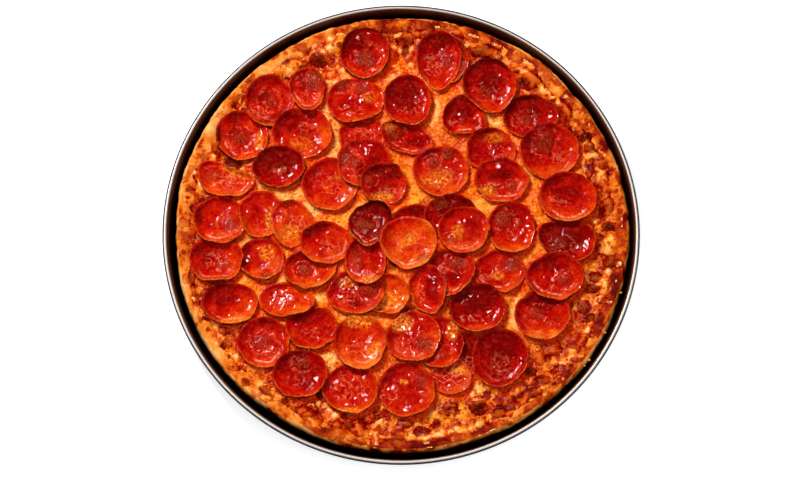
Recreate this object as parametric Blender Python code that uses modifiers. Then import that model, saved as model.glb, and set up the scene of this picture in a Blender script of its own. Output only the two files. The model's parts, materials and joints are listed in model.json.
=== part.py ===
"""A whole pepperoni pizza, baked and uncut, in its round steel pan.

The pan and the dough are turned shapes. The cheese lies on the dough, and each
slice of pepperoni is a thin coin that is cupped and draped over what lies below
it, in the order of the table, from the lowest slice to the highest.
The table is in millimetres, with +Y towards the far side of the pan.
"""

import math
from dataclasses import dataclass

import bpy
import numpy as np

MM = 0.001
GAP = 0.3
MERGE = 0.0001

# The pan, in millimetres. Its rim measures 14 inches across.
RIM_RADIUS = 178.0
PAN_HEIGHT = 25.0
SHEET = 1.0
BEAD_RADIUS = 1.85
FLOOR_RADIUS = 167.0
WALL_FOOT_RADIUS = 168.2
WALL_TOP_RADIUS = 174.15
WALL_TOP = 22.4
FILLET = 1.4

# The dough and the cheese, in millimetres.
DOUGH_BOTTOM = SHEET + GAP
DOUGH_TOP = 13.0
FOOD_SHIFT = 1.0
CRUST_TOP = 20.8
CRUST_RADIUS = 168.7
CHEESE_EDGE = 160.0
CHEESE_TOP = 15.5

# Uneven edges. Each wave is a size in millimetres, a number of lobes and a phase.
CRUST_OUT = ((0.45, 7, 0.6), (0.35, 13, 2.1), (0.25, 23, 0.0))
CRUST_RISE = ((0.5, 5, 1.3), (0.35, 11, 0.4), (0.25, 19, 2.7))
CHEESE_OUT = ((1.1, 6, 0.8), (0.8, 17, 1.9))
CHEESE_WAVE = 0.3
CHEESE_WAVE_X = 11.0
CHEESE_WAVE_Y = 9.0
BLISTER_FOOT = 2.5

# The crust's inner slope, on which the cheese climbs, has no relief of its own.
SLOPE_FOOT = (150.0, DOUGH_TOP)
SLOPE_MIDDLE = (156.0, 16.8)
SLOPE_HEAD = (163.5, 20.2)

SLICE_THICKNESS = 1.7
SLICE_CUP = 2.4
TURN_STEPS = 64
SLICE_STEPS = 12
TOP_RINGS = (0.6, 0.86, 1.0)
BOTTOM_RINGS = (0.62, 1.0)

# The height map that the slices are draped over.
CELL = 0.5
MAP_HALF = 172.0

CUP_POWER = 3.0
LIFT_POWER = 2.2
LIFT_SPREAD = 1.5
TIP_SPREAD = 0.42
CUT_FACING = 0.3
PRESSED = 0.92
PRESS_REACH = 1.16
PRESS_DEPTH = 0.26
DRAPE_ROUNDS = 60
DRAPE_MARGIN = 0.04

TONES = (0.0, 0.4, 1.0)


@dataclass
class Slice:
    """One slice: its centre, half sizes and what bends it. Directions are in degrees from +X."""

    x: float
    y: float
    rx: float
    ry: float
    turn: float = 0.0
    cup: float = SLICE_CUP
    tone: float = 0.45
    lifts: tuple = ()
    tips: tuple = ()
    cuts: tuple = ()


# Each lift is a direction and a height, each tip a direction and a reach, and
# each cut a direction and the distance of a straight edge from the centre.
SLICES = [
    Slice(36.5, -109, 15.5, 13.5, cup=0.8, tone=0.55),
    Slice(4, -119, 21, 20.5, cup=3.2, tone=0.4),
    Slice(-38, -119, 20.5, 18.5, cup=3.0, tone=0.45, lifts=((0, 1.5),)),
    Slice(28, -83, 18.5, 20.5, cup=1.6, tone=0.4, lifts=((15, 3.0),)),
    Slice(-102.5, -82.5, 19.5, 19, cup=3.4, tone=0.42),
    Slice(-75.5, -107.5, 20.5, 18, cup=3.2, tone=0.28, tips=((48, 1.6),), lifts=((20, 1.2),)),
    Slice(-67, -71.5, 19.5, 16.5, cup=3.6, tone=0.38),
    Slice(-30.5, -82, 19.5, 20.5, cup=2.2, tone=0.75, tips=((-82, 1.8),), lifts=((5, 2.2),)),
    Slice(9, -79, 20, 20, cup=1.8, tone=0.45),
    Slice(-127.5, -52.5, 20.5, 16.5, cup=3.8, tone=0.4, cuts=((80, 15.0),)),
    Slice(-104, -18, 17, 16, cup=2.2, tone=0.5, lifts=((178, 2.4),)),
    Slice(-138, -19, 19.5, 18, cup=3.0, tone=0.4),
    Slice(-135.5, 11.5, 19, 19, cup=2.6, tone=0.45),
    Slice(-104, 16.5, 17, 17.5, cup=1.8, tone=0.5),
    Slice(-81.5, 9.5, 15.5, 18, cup=0.9, tone=0.6),
    Slice(-130, 44, 20.5, 13.5, cup=1.2, tone=0.6, tips=((134, 6.4),), cuts=((64, 8.8),), lifts=((64, 2.4),)),
    Slice(-119.5, 77.5, 19.5, 18.5, cup=2.8, tone=0.4),
    Slice(-98.5, 104, 18.5, 19.5, cup=1.8, tone=0.35),
    Slice(-74, 80, 22, 19.5, cup=2.6, tone=0.4, lifts=((10, 2.6), (100, 0.8))),
    Slice(-70, 114.5, 13, 16.5, cup=2.4, tone=0.4, tips=((-86, 2.4),), lifts=((60, 1.6),)),
    Slice(-91.5, 53, 19.5, 15.5, cup=4.4, tone=0.18),
    Slice(-85.5, -50, 21, 13.5, cup=2.2, tone=0.65, cuts=((-90, 12.8),)),
    Slice(-69.5, -26.5, 18, 15, cup=3.0, tone=0.5, tips=((18, 5.5),)),
    Slice(-56, -6, 19.5, 16, cup=1.6, tone=0.55, lifts=((125, 3.0),)),
    Slice(-10.5, -45, 16.5, 15.5, cup=2.6, tone=0.65),
    Slice(-33.5, -44, 21, 17, cup=1.4, tone=0.42),
    Slice(-26.5, -20.5, 15.5, 19, cup=1.2, tone=0.5, lifts=((-70, 0.8),)),
    Slice(-53, 40, 20.5, 20, cup=2.4, tone=0.45),
    Slice(-28, 76.5, 18.5, 16, cup=0.8, tone=0.42),
    Slice(4, 76.5, 21, 12, turn=-20, cup=1.0, tone=0.3),
    Slice(-27.5, 56, 20.5, 18, cup=1.8, tone=0.4),
    Slice(-13, 40, 17, 15.5, cup=2.4, tone=0.35, cuts=((95, 13.8),), lifts=((95, 2.4),)),
    Slice(29.5, 50, 20.5, 19, cup=2.2, tone=0.6),
    Slice(-34, 105, 21, 17.5, cup=1.8, tone=0.4, tips=((228, 2.0),)),
    Slice(5, 105, 17.5, 20, cup=2.8, tone=0.28),
    Slice(-27, 141.5, 18.5, 19, cup=3.4, tone=0.3),
    Slice(28, 138, 16.5, 19, cup=2.6, tone=0.3, tips=((-86, 5.5),), lifts=((180, 1.0),)),
    Slice(46.5, 92.5, 14.5, 13.5, cup=3.2, tone=0.25, tips=((97, 3.0), (218, 2.4), (-34, 5.0))),
    Slice(66, 117, 20, 19.5, cup=3.4, tone=0.28, tips=((-72, 3.5),)),
    Slice(97.5, 92.5, 20.5, 15.5, cup=2.8, tone=0.25, tips=((-135, 2.6),), lifts=((125, 1.6),)),
    Slice(67, 66, 18, 17, cup=1.4, tone=0.38),
    Slice(110.5, 65.5, 22, 21, cup=3.0, tone=0.38),
    Slice(75, 42.5, 20, 16.5, cup=2.2, tone=0.4),
    Slice(123, -4.5, 22, 17, cup=3.8, tone=0.2, tips=((155, 2.0),), cuts=((225, 14.2),)),
    Slice(124, 29.5, 21.5, 19.5, cup=3.4, tone=0.42),
    Slice(73, -27.5, 20, 16, cup=1.8, tone=0.45),
    Slice(82, 6, 17.5, 20, cup=2.6, tone=0.42),
    Slice(105.5, -61.5, 20.5, 19, cup=3.4, tone=0.4),
    Slice(114.5, -32.5, 21, 18, cup=2.8, tone=0.38),
    Slice(73.5, -94.5, 20.5, 22.5, cup=3.0, tone=0.2, lifts=((175, 2.2),)),
    Slice(56.5, -56, 21, 18, cup=4.0, tone=0.2),
    Slice(37, 14.5, 20, 16.5, cup=2.0, tone=0.2, lifts=((90, 3.0),)),
    Slice(37, -27.5, 17.5, 17.5, cup=2.4, tone=0.35, tips=((-108, 4.0),)),
    Slice(46.5, 3.5, 19, 18, cup=2.4, tone=0.42),
    Slice(20, -42, 13.5, 18.5, turn=8, cup=2.8, tone=0.45, lifts=((178, 2.8),)),
    Slice(-24.5, 8, 14.5, 17, cup=3.4, tone=0.1, tips=((42, 5.5),)),
    Slice(5.5, -5.5, 20.5, 19.5, cup=1.2, tone=0.85, tips=((6, 1.0), (-68, 1.2)), lifts=((-25, 0.8),)),
]

# Blisters of the cheese: place, radius and height, in millimetres.
BLISTERS = [
    (-88, 136, 5, 1.6),
    (-73, 145, 6, 2.0),
    (-60, 138, 8, 1.8),
    (0, 156, 10, 2.0),
    (20, 158, 4, 1.2),
    (60, 144, 10, 2.2),
    (98, 122, 12, 2.4),
    (128, 104, 5, 1.6),
    (140, 93, 6, 1.8),
    (138, 77, 8, 2.2),
    (150, 55, 9, 1.8),
    (153, 24, 7, 1.4),
    (154, 7, 6, 1.8),
    (150, -12, 9, 1.6),
    (143, -33, 7, 2.0),
    (136, -55, 6, 1.8),
    (112, -85, 9, 1.4),
    (112, -104, 8, 1.6),
    (94, -121, 7, 1.6),
    (80, -129, 7, 1.8),
    (57, -131, 9, 2.2),
    (36, -133, 11, 2.0),
    (15, -151, 6, 1.4),
    (-3, -147, 9, 1.6),
    (-35, -146, 11, 2.0),
    (-83, -135, 6, 1.6),
    (-104, -117, 8, 1.8),
    (-131, -73, 6, 1.4),
    (-147, -67, 6, 1.4),
    (-157, -32, 5, 1.4),
    (-155, 15, 8, 1.6),
    (-155, 40, 7, 1.4),
    (-140, 68, 9, 1.8),
    (-122, 107, 5, 1.2),
]


def collection_named(name):
    made = bpy.data.collections.new(name)
    bpy.context.scene.collection.children.link(made)
    return made


def material(name, colour, roughness, metallic=0.0):
    made = bpy.data.materials.new(name)
    made.use_nodes = True
    shader = made.node_tree.nodes["Principled BSDF"]
    shader.inputs["Base Color"].default_value = (*colour, 1.0)
    shader.inputs["Roughness"].default_value = roughness
    shader.inputs["Metallic"].default_value = metallic
    made.diffuse_color = (*colour, 1.0)
    return made


def turned(name, profile, steps, folder):
    """A profile of (radius, height) points in millimetres, turned about Z by a Screw modifier."""
    mesh = bpy.data.meshes.new(name)
    points = [(radius * MM, 0.0, height * MM) for radius, height in profile]
    edges = [(k, k + 1) for k in range(len(points) - 1)]
    mesh.from_pydata(points, edges, [])
    made = bpy.data.objects.new(name, mesh)
    folder.objects.link(made)
    screw = made.modifiers.new("Turn", "SCREW")
    screw.axis = "Z"
    screw.angle = 2.0 * math.pi
    screw.steps = steps
    screw.render_steps = steps
    screw.use_smooth_shade = True
    screw.use_merge_vertices = True
    screw.merge_threshold = MERGE
    return made


def turned_mesh(name, profile, steps, folder):
    """The same, as a plain mesh whose points can be moved."""
    helper = turned(name, profile, steps, folder)
    graph = bpy.context.evaluated_depsgraph_get()
    mesh = bpy.data.meshes.new_from_object(helper.evaluated_get(graph))
    bpy.data.objects.remove(helper)
    mesh.name = name
    return mesh


def points_of(mesh):
    """The mesh's points in millimetres."""
    points = np.empty(len(mesh.vertices) * 3)
    mesh.vertices.foreach_get("co", points)
    return points.reshape(-1, 3) / MM


def triangles_of(mesh):
    mesh.calc_loop_triangles()
    corners = np.empty(len(mesh.loop_triangles) * 3, dtype=np.int32)
    mesh.loop_triangles.foreach_get("vertices", corners)
    return corners.reshape(-1, 3)


def set_points(mesh, points):
    mesh.vertices.foreach_set("co", (points * MM).ravel())
    mesh.update()


def add_piece(name, mesh, look, folder):
    made = bpy.data.objects.new(name, mesh)
    folder.objects.link(made)
    made.data.materials.clear()
    made.data.materials.append(look)
    made.data.shade_smooth()
    return made


def smooth_step(value):
    value = np.clip(value, 0.0, 1.0)
    return value * value * (3.0 - 2.0 * value)


def waves(angle, table):
    return sum(size * np.sin(lobes * angle + phase) for size, lobes, phase in table)


def pan_profile():
    """From the middle of the floor, up the inner wall, over the bead and down the outer side."""
    bead_r = RIM_RADIUS - BEAD_RADIUS
    bead_z = PAN_HEIGHT - BEAD_RADIUS
    profile = [
        (0.0, SHEET),
        (FLOOR_RADIUS, SHEET),
        (WALL_FOOT_RADIUS, SHEET + FILLET),
        (WALL_TOP_RADIUS, WALL_TOP),
    ]
    for degrees in range(180, -91, -45):
        turn = math.radians(degrees)
        profile.append((bead_r + BEAD_RADIUS * math.cos(turn), bead_z + BEAD_RADIUS * math.sin(turn)))
    profile += [
        (WALL_TOP_RADIUS + SHEET, bead_z - BEAD_RADIUS - 0.2),
        (WALL_FOOT_RADIUS + SHEET, SHEET + 0.8),
        (FLOOR_RADIUS + 0.6, 0.0),
        (0.0, 0.0),
    ]
    return profile


def crust_profile():
    """From the middle of the dough's top, up the inner slope, over the rim and down the outer side."""
    return [
        (0.0, DOUGH_TOP),
        SLOPE_FOOT,
        SLOPE_MIDDLE,
        SLOPE_HEAD,
        (166.4, CRUST_TOP),
        (168.2, 18.6),
        (CRUST_RADIUS, 14.0),
        (167.3, 8.0),
        (165.6, 3.2),
        (163.8, DOUGH_BOTTOM),
        (0.0, DOUGH_BOTTOM),
    ]


def crust_relief(points):
    """An uneven rim: it moves out and in, up and down, and only outside the inner slope."""
    radius = np.hypot(points[:, 0], points[:, 1])
    angle = np.arctan2(points[:, 1], points[:, 0])
    outside = (radius > SLOPE_HEAD[0] + 1.0) & (points[:, 2] > DOUGH_BOTTOM + 0.5)
    height = np.clip((points[:, 2] - DOUGH_BOTTOM) / (CRUST_TOP - DOUGH_BOTTOM), 0.0, 1.0)
    grow = np.where(outside, height * waves(angle, CRUST_OUT) / np.maximum(radius, 1.0), 0.0)
    moved = points.copy()
    moved[:, 0] += points[:, 0] * grow
    moved[:, 1] += points[:, 1] * grow
    moved[:, 2] += np.where(outside, waves(angle, CRUST_RISE) * height**2, 0.0)
    moved[:, 0] += FOOD_SHIFT
    return moved


def slope_height(radius):
    """The height of the dough under the cheese."""
    rings = (SLOPE_FOOT, SLOPE_MIDDLE, SLOPE_HEAD)
    return np.interp(radius, [ring[0] for ring in rings], [ring[1] for ring in rings])


def cheese_profile():
    """From the middle of the cheese's top, over its thin edge and back under it."""
    top_radii = (30, 60, 86, 106, 120, 132, 142, 150, 156)
    profile = [(0.0, CHEESE_TOP)]
    profile += [(float(radius), slope_height(radius) + CHEESE_TOP - DOUGH_TOP) for radius in top_radii]
    profile += [
        (CHEESE_EDGE - 0.8, slope_height(CHEESE_EDGE - 0.8) + 1.7),
        (CHEESE_EDGE, slope_height(CHEESE_EDGE) + GAP),
        (SLOPE_MIDDLE[0], SLOPE_MIDDLE[1] + GAP),
        (SLOPE_FOOT[0], DOUGH_TOP + GAP),
        (0.0, DOUGH_TOP + GAP),
    ]
    return profile


def cheese_relief(points):
    """Blisters and low waves on the cheese's top, and an edge that runs in and out on the slope."""
    radius = np.hypot(points[:, 0], points[:, 1])
    angle = np.arctan2(points[:, 1], points[:, 0])
    dough = slope_height(radius)
    above = points[:, 2] - dough
    wave = CHEESE_WAVE * np.sin(points[:, 0] / CHEESE_WAVE_X) * np.sin(points[:, 1] / CHEESE_WAVE_Y + 0.7)
    bump = np.zeros(len(points))
    for x, y, size, height in BLISTERS:
        away = np.hypot(points[:, 0] - x, points[:, 1] - y) / (size + BLISTER_FOOT)
        bump = np.maximum(bump, height * (1.0 - smooth_step(away)))
    moved = points.copy()
    moved[:, 2] += np.where(above > GAP + 1.0, wave + bump, 0.0)
    edge = waves(angle, CHEESE_OUT)
    at_edge = radius > CHEESE_EDGE - 1.5
    grow = np.where(at_edge, edge / np.maximum(radius, 1.0), 0.0)
    moved[:, 0] += points[:, 0] * grow
    moved[:, 1] += points[:, 1] * grow
    moved[:, 2] += np.where(at_edge, slope_height(radius + edge) - dough, 0.0)
    moved[:, 0] += FOOD_SHIFT
    return moved


class HeightMap:
    """The height of everything laid so far, on a square grid of cells."""

    def __init__(self):
        self.count = int(2 * MAP_HALF / CELL)
        self.top = np.full((self.count, self.count), DOUGH_TOP)
        self.floor = self.top

    def cells(self, corners):
        """The cells inside one triangle: their indices and weights of its corners."""
        low = np.floor((corners[:, :2].min(axis=0) + MAP_HALF) / CELL).astype(int)
        high = np.ceil((corners[:, :2].max(axis=0) + MAP_HALF) / CELL).astype(int)
        low = np.clip(low, 0, self.count - 1)
        high = np.clip(high, 0, self.count - 1)
        rows, columns = np.mgrid[low[1] : high[1] + 1, low[0] : high[0] + 1]
        x = (columns + 0.5) * CELL - MAP_HALF
        y = (rows + 0.5) * CELL - MAP_HALF
        (x0, y0), (x1, y1), (x2, y2) = corners[:, :2]
        area = (x1 - x0) * (y2 - y0) - (x2 - x0) * (y1 - y0)
        if abs(area) < 1e-9:
            return None
        second = ((x - x0) * (y2 - y0) - (x2 - x0) * (y - y0)) / area
        third = ((x1 - x0) * (y - y0) - (x - x0) * (y1 - y0)) / area
        slack = CELL / math.sqrt(abs(area))
        inside = (second > -slack) & (third > -slack) & (second + third < 1.0 + slack)
        weights = np.stack([1.0 - second[inside] - third[inside], second[inside], third[inside]], axis=1)
        return rows[inside], columns[inside], weights

    def add(self, points, triangles):
        for triangle in triangles:
            found = self.cells(points[triangle])
            if found is None:
                continue
            rows, columns, weights = found
            heights = np.clip(weights, 0.0, 1.0) @ points[triangle, 2]
            np.maximum.at(self.top, (rows, columns), heights)

    def raise_floor(self):
        """Sets the floor for the next slice: a gap above each cell and its eight neighbours."""
        wide = self.top.copy()
        for rows in (-1, 0, 1):
            for columns in (-1, 0, 1):
                wide = np.maximum(wide, np.roll(self.top, (rows, columns), axis=(0, 1)))
        self.floor = wide + GAP


def outline(piece, angle):
    """The radius of a slice in a direction from its centre."""
    local = angle - math.radians(piece.turn)
    radius = piece.rx * piece.ry / np.hypot(piece.ry * np.cos(local), piece.rx * np.sin(local))
    for direction, reach in piece.tips:
        away = np.angle(np.exp(1j * (angle - math.radians(direction))))
        radius = radius + reach * np.exp(-((away / TIP_SPREAD) ** 2))
    for direction, distance in piece.cuts:
        facing = np.cos(angle - math.radians(direction))
        edge = distance / np.maximum(facing, CUT_FACING)
        radius = np.where(facing > CUT_FACING, np.minimum(radius, edge), radius)
    return radius


def share_out(piece, x, y):
    """How far a point is from a slice's centre, where its edge is at 1."""
    dx = x - piece.x
    dy = y - piece.y
    return np.hypot(dx, dy) / outline(piece, np.arctan2(dy, dx))


def bend(piece, share, angle):
    """The height of a slice's cupped rim and lifted sides above its flat middle."""
    height = piece.cup * share**CUP_POWER
    for direction, lift in piece.lifts:
        facing = np.clip(np.cos(angle - math.radians(direction)), 0.0, 1.0)
        height = height + lift * share**LIFT_POWER * facing**LIFT_SPREAD
    return height


def pressed(x, y, above):
    """What is left of a slice's bend where the slices above lie on it."""
    left = np.ones_like(x)
    for other in above:
        depth = smooth_step((PRESS_REACH - share_out(other, x, y)) / PRESS_DEPTH)
        left = left * (1.0 - PRESSED * depth)
    return left


def drape(points, triangles, heights, limit):
    """Raises heights until no triangle is below the limit at any cell."""
    cells = []
    for triangle in triangles:
        found = limit.cells(points[triangle])
        if found is not None:
            cells.append((triangle, found[2], limit.floor[found[0], found[1]]))
    for _ in range(DRAPE_ROUNDS):
        worst = 0.0
        for triangle, weights, needed in cells:
            short = needed - weights @ heights[triangle]
            k = int(short.argmax())
            if short[k] <= 0.0:
                continue
            share = np.clip(weights[k], 0.0, 1.0)
            heights[triangle] += (short[k] + DRAPE_MARGIN) * share / (share @ share)
            worst = max(worst, short[k])
        if worst < DRAPE_MARGIN:
            break
    return heights


def coin_grid(piece, rings):
    """The centre and rings of a slice's face: shares, angles and places."""
    angles = np.arange(SLICE_STEPS) * 2.0 * math.pi / SLICE_STEPS + math.radians(piece.turn)
    share = np.concatenate([[0.0]] + [np.full(SLICE_STEPS, ring) for ring in rings])
    angle = np.concatenate([[0.0]] + [angles for _ in rings])
    radius = share * outline(piece, angle)
    return share, angle, piece.x + radius * np.cos(angle), piece.y + radius * np.sin(angle)


def face_triangles(count):
    """Triangles of a face made of a centre and rings, for draping."""
    made = []
    for k in range(SLICE_STEPS):
        after = (k + 1) % SLICE_STEPS
        made.append((0, 1 + k, 1 + after))
        for ring in range(1, count):
            inner = 1 + (ring - 1) * SLICE_STEPS
            outer = 1 + ring * SLICE_STEPS
            made.append((inner + k, outer + k, outer + after))
            made.append((inner + k, outer + after, inner + after))
    return np.array(made)


def slice_solid(name, piece, above, ground):
    """One slice as a closed coin, draped over the ground. Returns its mesh."""
    share, angle, x, y = coin_grid(piece, BOTTOM_RINGS)
    shape = bend(piece, share, angle) * pressed(x, y, above)
    triangles = face_triangles(len(BOTTOM_RINGS))
    rows = np.clip(((y + MAP_HALF) / CELL).astype(int), 0, ground.count - 1)
    columns = np.clip(((x + MAP_HALF) / CELL).astype(int), 0, ground.count - 1)
    under = ground.floor[rows, columns]
    plane = np.stack([np.ones_like(x), x - piece.x, y - piece.y], axis=1)
    fitted = plane @ np.linalg.lstsq(plane, under, rcond=None)[0]
    places = np.stack([x, y, fitted], axis=1)
    low = drape(places, triangles, fitted + shape, ground)

    share_top, angle_top, x_top, y_top = coin_grid(piece, TOP_RINGS)
    rings = np.array((0.0,) + BOTTOM_RINGS)
    columns_low = np.vstack([np.full(SLICE_STEPS, low[0]), low[1:].reshape(-1, SLICE_STEPS)])
    high = np.empty_like(share_top)
    high[0] = low[0] + SLICE_THICKNESS
    for k in range(SLICE_STEPS):
        picked = 1 + k + SLICE_STEPS * np.arange(len(TOP_RINGS))
        high[picked] = np.interp(share_top[picked], rings, columns_low[:, k]) + SLICE_THICKNESS
    flat = bend(piece, share_top, angle_top)
    for number, ring in enumerate(TOP_RINGS):
        picked = 1 + number * SLICE_STEPS + np.arange(SLICE_STEPS)
        straight = np.array([np.interp(ring, rings, bend(piece, rings, a)) for a in angle_top[picked]])
        high[picked] += (flat[picked] - straight) * pressed(x_top[picked], y_top[picked], above)

    top = np.stack([x_top, y_top, high], axis=1)
    bottom = np.stack([x, y, low], axis=1)
    return coin_mesh(name, top, bottom), top


def coin_mesh(name, top, bottom):
    """A turned coin with these rings, moved to the places of a slice's top and bottom."""
    profile = [(0.0, 1.0)]
    profile += [(ring, 1.0) for ring in TOP_RINGS]
    profile += [(ring, -1.0) for ring in reversed(BOTTOM_RINGS)]
    profile += [(0.0, -1.0)]
    mesh = turned_mesh(name, profile, SLICE_STEPS, PARTS)
    points = points_of(mesh)
    moved = points.copy()
    step = 2.0 * math.pi / SLICE_STEPS
    for index, (x, y, z) in enumerate(points):
        face, rings = (top, TOP_RINGS) if z > 0.0 else (bottom, BOTTOM_RINGS)
        share = math.hypot(x, y)
        if share < 0.1:
            moved[index] = face[0]
            continue
        ring = int(np.argmin([abs(share - value) for value in rings]))
        k = int(round(math.atan2(y, x) / step)) % SLICE_STEPS
        moved[index] = face[1 + ring * SLICE_STEPS + k]
    set_points(mesh, moved)
    return mesh


def slice_look(number, tone):
    """Dark maroon at a tone of 0, through deep red, to orange red at 1."""
    red = np.interp(tone, TONES, (0.09, 0.33, 0.72))
    green = np.interp(tone, TONES, (0.002, 0.012, 0.10))
    blue = np.interp(tone, TONES, (0.002, 0.004, 0.01))
    return material("Pepperoni_%02d" % number, (red, green, blue), 0.32)


for old in list(bpy.data.objects):
    bpy.data.objects.remove(old)

PARTS = collection_named("Pepperoni_pizza")

pan = turned("pan", pan_profile(), TURN_STEPS, PARTS)
pan.data.materials.append(material("Pan_steel", (0.05, 0.035, 0.028), 0.38, 0.8))

crust_mesh = turned_mesh("crust", crust_profile(), TURN_STEPS, PARTS)
set_points(crust_mesh, crust_relief(points_of(crust_mesh)))
add_piece("crust", crust_mesh, material("Crust", (0.72, 0.27, 0.07), 0.6), PARTS)

cheese_mesh = turned_mesh("cheese", cheese_profile(), TURN_STEPS, PARTS)
set_points(cheese_mesh, cheese_relief(points_of(cheese_mesh)))
add_piece("cheese", cheese_mesh, material("Cheese", (0.93, 0.42, 0.08), 0.4), PARTS)

ground = HeightMap()
ground.add(points_of(cheese_mesh), triangles_of(cheese_mesh))
for order, piece in enumerate(SLICES):
    name = "pepperoni_%02d" % (order + 1)
    ground.raise_floor()
    mesh, top = slice_solid(name, piece, SLICES[order + 1 :], ground)
    add_piece(name, mesh, slice_look(order + 1, piece.tone), PARTS)
    ground.add(top, face_triangles(len(TOP_RINGS)))
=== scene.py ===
"""The looks of a whole pepperoni pizza, baked and uncut, in its round steel pan.

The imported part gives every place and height. The pan, the dough, the cheese and
each slice are built again here with a finer surface, and stand for their nodes.
Lengths are in millimetres until a mesh is made, with +Y towards the far side.
"""

import json
import math
from dataclasses import dataclass
from functools import partial

import bpy
import numpy as np
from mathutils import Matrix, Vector
from mathutils.bvhtree import BVHTree

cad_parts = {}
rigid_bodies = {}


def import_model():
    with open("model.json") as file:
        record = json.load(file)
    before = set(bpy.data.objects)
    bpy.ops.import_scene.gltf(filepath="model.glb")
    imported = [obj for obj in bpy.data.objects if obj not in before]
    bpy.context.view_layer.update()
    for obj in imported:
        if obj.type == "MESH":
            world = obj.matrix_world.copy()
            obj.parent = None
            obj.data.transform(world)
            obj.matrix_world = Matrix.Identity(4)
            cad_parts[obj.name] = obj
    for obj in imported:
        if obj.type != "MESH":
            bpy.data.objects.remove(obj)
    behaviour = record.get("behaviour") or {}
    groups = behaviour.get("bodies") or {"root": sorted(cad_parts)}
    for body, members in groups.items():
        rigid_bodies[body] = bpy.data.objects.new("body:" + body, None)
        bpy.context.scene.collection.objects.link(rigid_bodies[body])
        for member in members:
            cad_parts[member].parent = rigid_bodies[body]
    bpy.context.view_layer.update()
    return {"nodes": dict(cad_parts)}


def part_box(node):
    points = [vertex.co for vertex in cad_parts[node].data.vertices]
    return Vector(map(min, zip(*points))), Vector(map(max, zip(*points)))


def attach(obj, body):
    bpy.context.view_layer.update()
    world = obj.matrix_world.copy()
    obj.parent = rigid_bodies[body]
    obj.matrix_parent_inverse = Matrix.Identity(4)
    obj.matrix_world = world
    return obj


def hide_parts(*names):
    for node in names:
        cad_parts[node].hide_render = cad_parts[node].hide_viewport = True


MM = 0.001

# The camera: a long lens over the near side, tilted from straight above.
PHOTO_WIDTH = 800
PHOTO_HEIGHT = 480
RIM_ACROSS = 356.0
RIM_PIXELS = 477.8
RIM_CENTRE_PIXEL = (401.1, 233.6)
LENS = 700.0
SENSOR = 36.0
CAMERA_TILT = 15.9

# The pan's sheet and rolled rim.
SHEET = 1.0
BEAD_RADIUS = 1.85
FLOOR_RADIUS = 167.0
WALL_FOOT_RADIUS = 168.2
WALL_TOP_RADIUS = 174.15
WALL_TOP = 22.4
PAN_STEPS = 288
# How much the shade of the wall and the rim varies with direction, and the wall's darkest side in degrees.
WALL_VARIES = 0.16
WALL_DARK_SIDE = 60.0
BEAD_VARIES = 0.06

# Fine meshes: steps round a slice, and the cell of the cheese's grid.
SLICE_STEPS = 120
SLICE_SHARES = (*np.linspace(0.05, 0.8, 19), 0.83, 0.86, 0.89, 0.915, 0.935, 0.955, 0.975, 0.99, 1.0)
CAD_STEPS = 12
CAD_TOP_RINGS = (0.6, 0.86, 1.0)
CAD_LOW_RINGS = (0.62, 1.0)
RIM_THICKNESS = 1.25
CHEESE_CELL = 1.0
CHEESE_HALF = 167.0
CHEESE_EDGE = 159.0
FOOD_SHIFT = 1.0
CRUST_STEPS = 720
HIGHEST = 29.8
SHADE_REACH = 4
CALM_RING = 8

# How much wider the dough's rim leans to both sides, and how much further to the far side.
CRUST_WIDER = (0.4, 1.1)
CRUST_FURTHER = 1.8


# Helpers for numbers.


def smooth_step(value):
    value = np.clip(value, 0.0, 1.0)
    return value * value * (3.0 - 2.0 * value)


def rise(value, start, length):
    """0 up to a start, and smoothly up to 1 over a length."""
    return smooth_step((value - start) / length)


def fall(value, end, length):
    """Smoothly down from 1 to 0 over a length, up to an end."""
    return smooth_step((end - value) / length)


def lift(fields, name, amount):
    """Raises a field to an amount, where it is lower."""
    fields[name] = np.maximum(fields[name], amount)


def turned_from(angle, direction, spread):
    """How far angles are from a direction in degrees, as a share of a spread in degrees."""
    away = np.abs(np.angle(np.exp(1j * (angle - math.radians(direction)))))
    return away / math.radians(spread)


def steps_round(count):
    """The angles of equal steps round a circle."""
    return np.arange(count) * 2.0 * math.pi / count


def round_points(centre, radius, angle, height):
    """Points at these distances and angles from a centre, and at these heights."""
    x = centre[0] + radius * np.cos(angle)
    y = centre[1] + radius * np.sin(angle)
    return np.stack([x, y, height + 0.0 * x], axis=-1)


def noise(x, y, size, seed):
    """Smooth seeded noise from -1 to 1, whose lumps are about this size."""
    table = np.random.default_rng(seed).random((256, 256))
    u = np.asarray(x) / size + 40.0
    v = np.asarray(y) / size + 40.0
    i = np.floor(u).astype(int)
    j = np.floor(v).astype(int)
    fu = smooth_step(u - i)
    fv = smooth_step(v - j)
    low = table[i & 255, j & 255] * (1 - fu) + table[(i + 1) & 255, j & 255] * fu
    high = table[i & 255, (j + 1) & 255] * (1 - fu) + table[(i + 1) & 255, (j + 1) & 255] * fu
    return 2.0 * (low * (1 - fv) + high * fv) - 1.0


def fractal(x, y, size, octaves, seed):
    """Noise with finer and weaker noise on it, from about -1 to 1."""
    total = 0.0
    weight = 1.0
    for octave in range(octaves):
        total = total + weight * noise(x, y, size / 2**octave, seed + octave)
        weight *= 0.55
    return total / 1.6


def ridges(x, y, size, seed):
    """Sharp crests between soft hollows, from 0 to 1."""
    return 1.0 - np.abs(fractal(x, y, size, 3, seed)) * 1.6


def around(values, angle, first):
    """Values at equal steps round a circle, joined smoothly."""
    count = len(values)
    place = (angle - first) / (2.0 * math.pi / count)
    k = np.floor(place).astype(int)
    t = place - k
    if values.ndim > 1:
        t = t[..., None]
    a, b, c, d = (values[(k + n) % count] for n in (-1, 0, 1, 2))
    square = (2 * a - 5 * b + 4 * c - d) * t**2
    cube = (3 * b - a - 3 * c + d) * t**3
    return 0.5 * (2 * b + (c - a) * t + square + cube)


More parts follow.
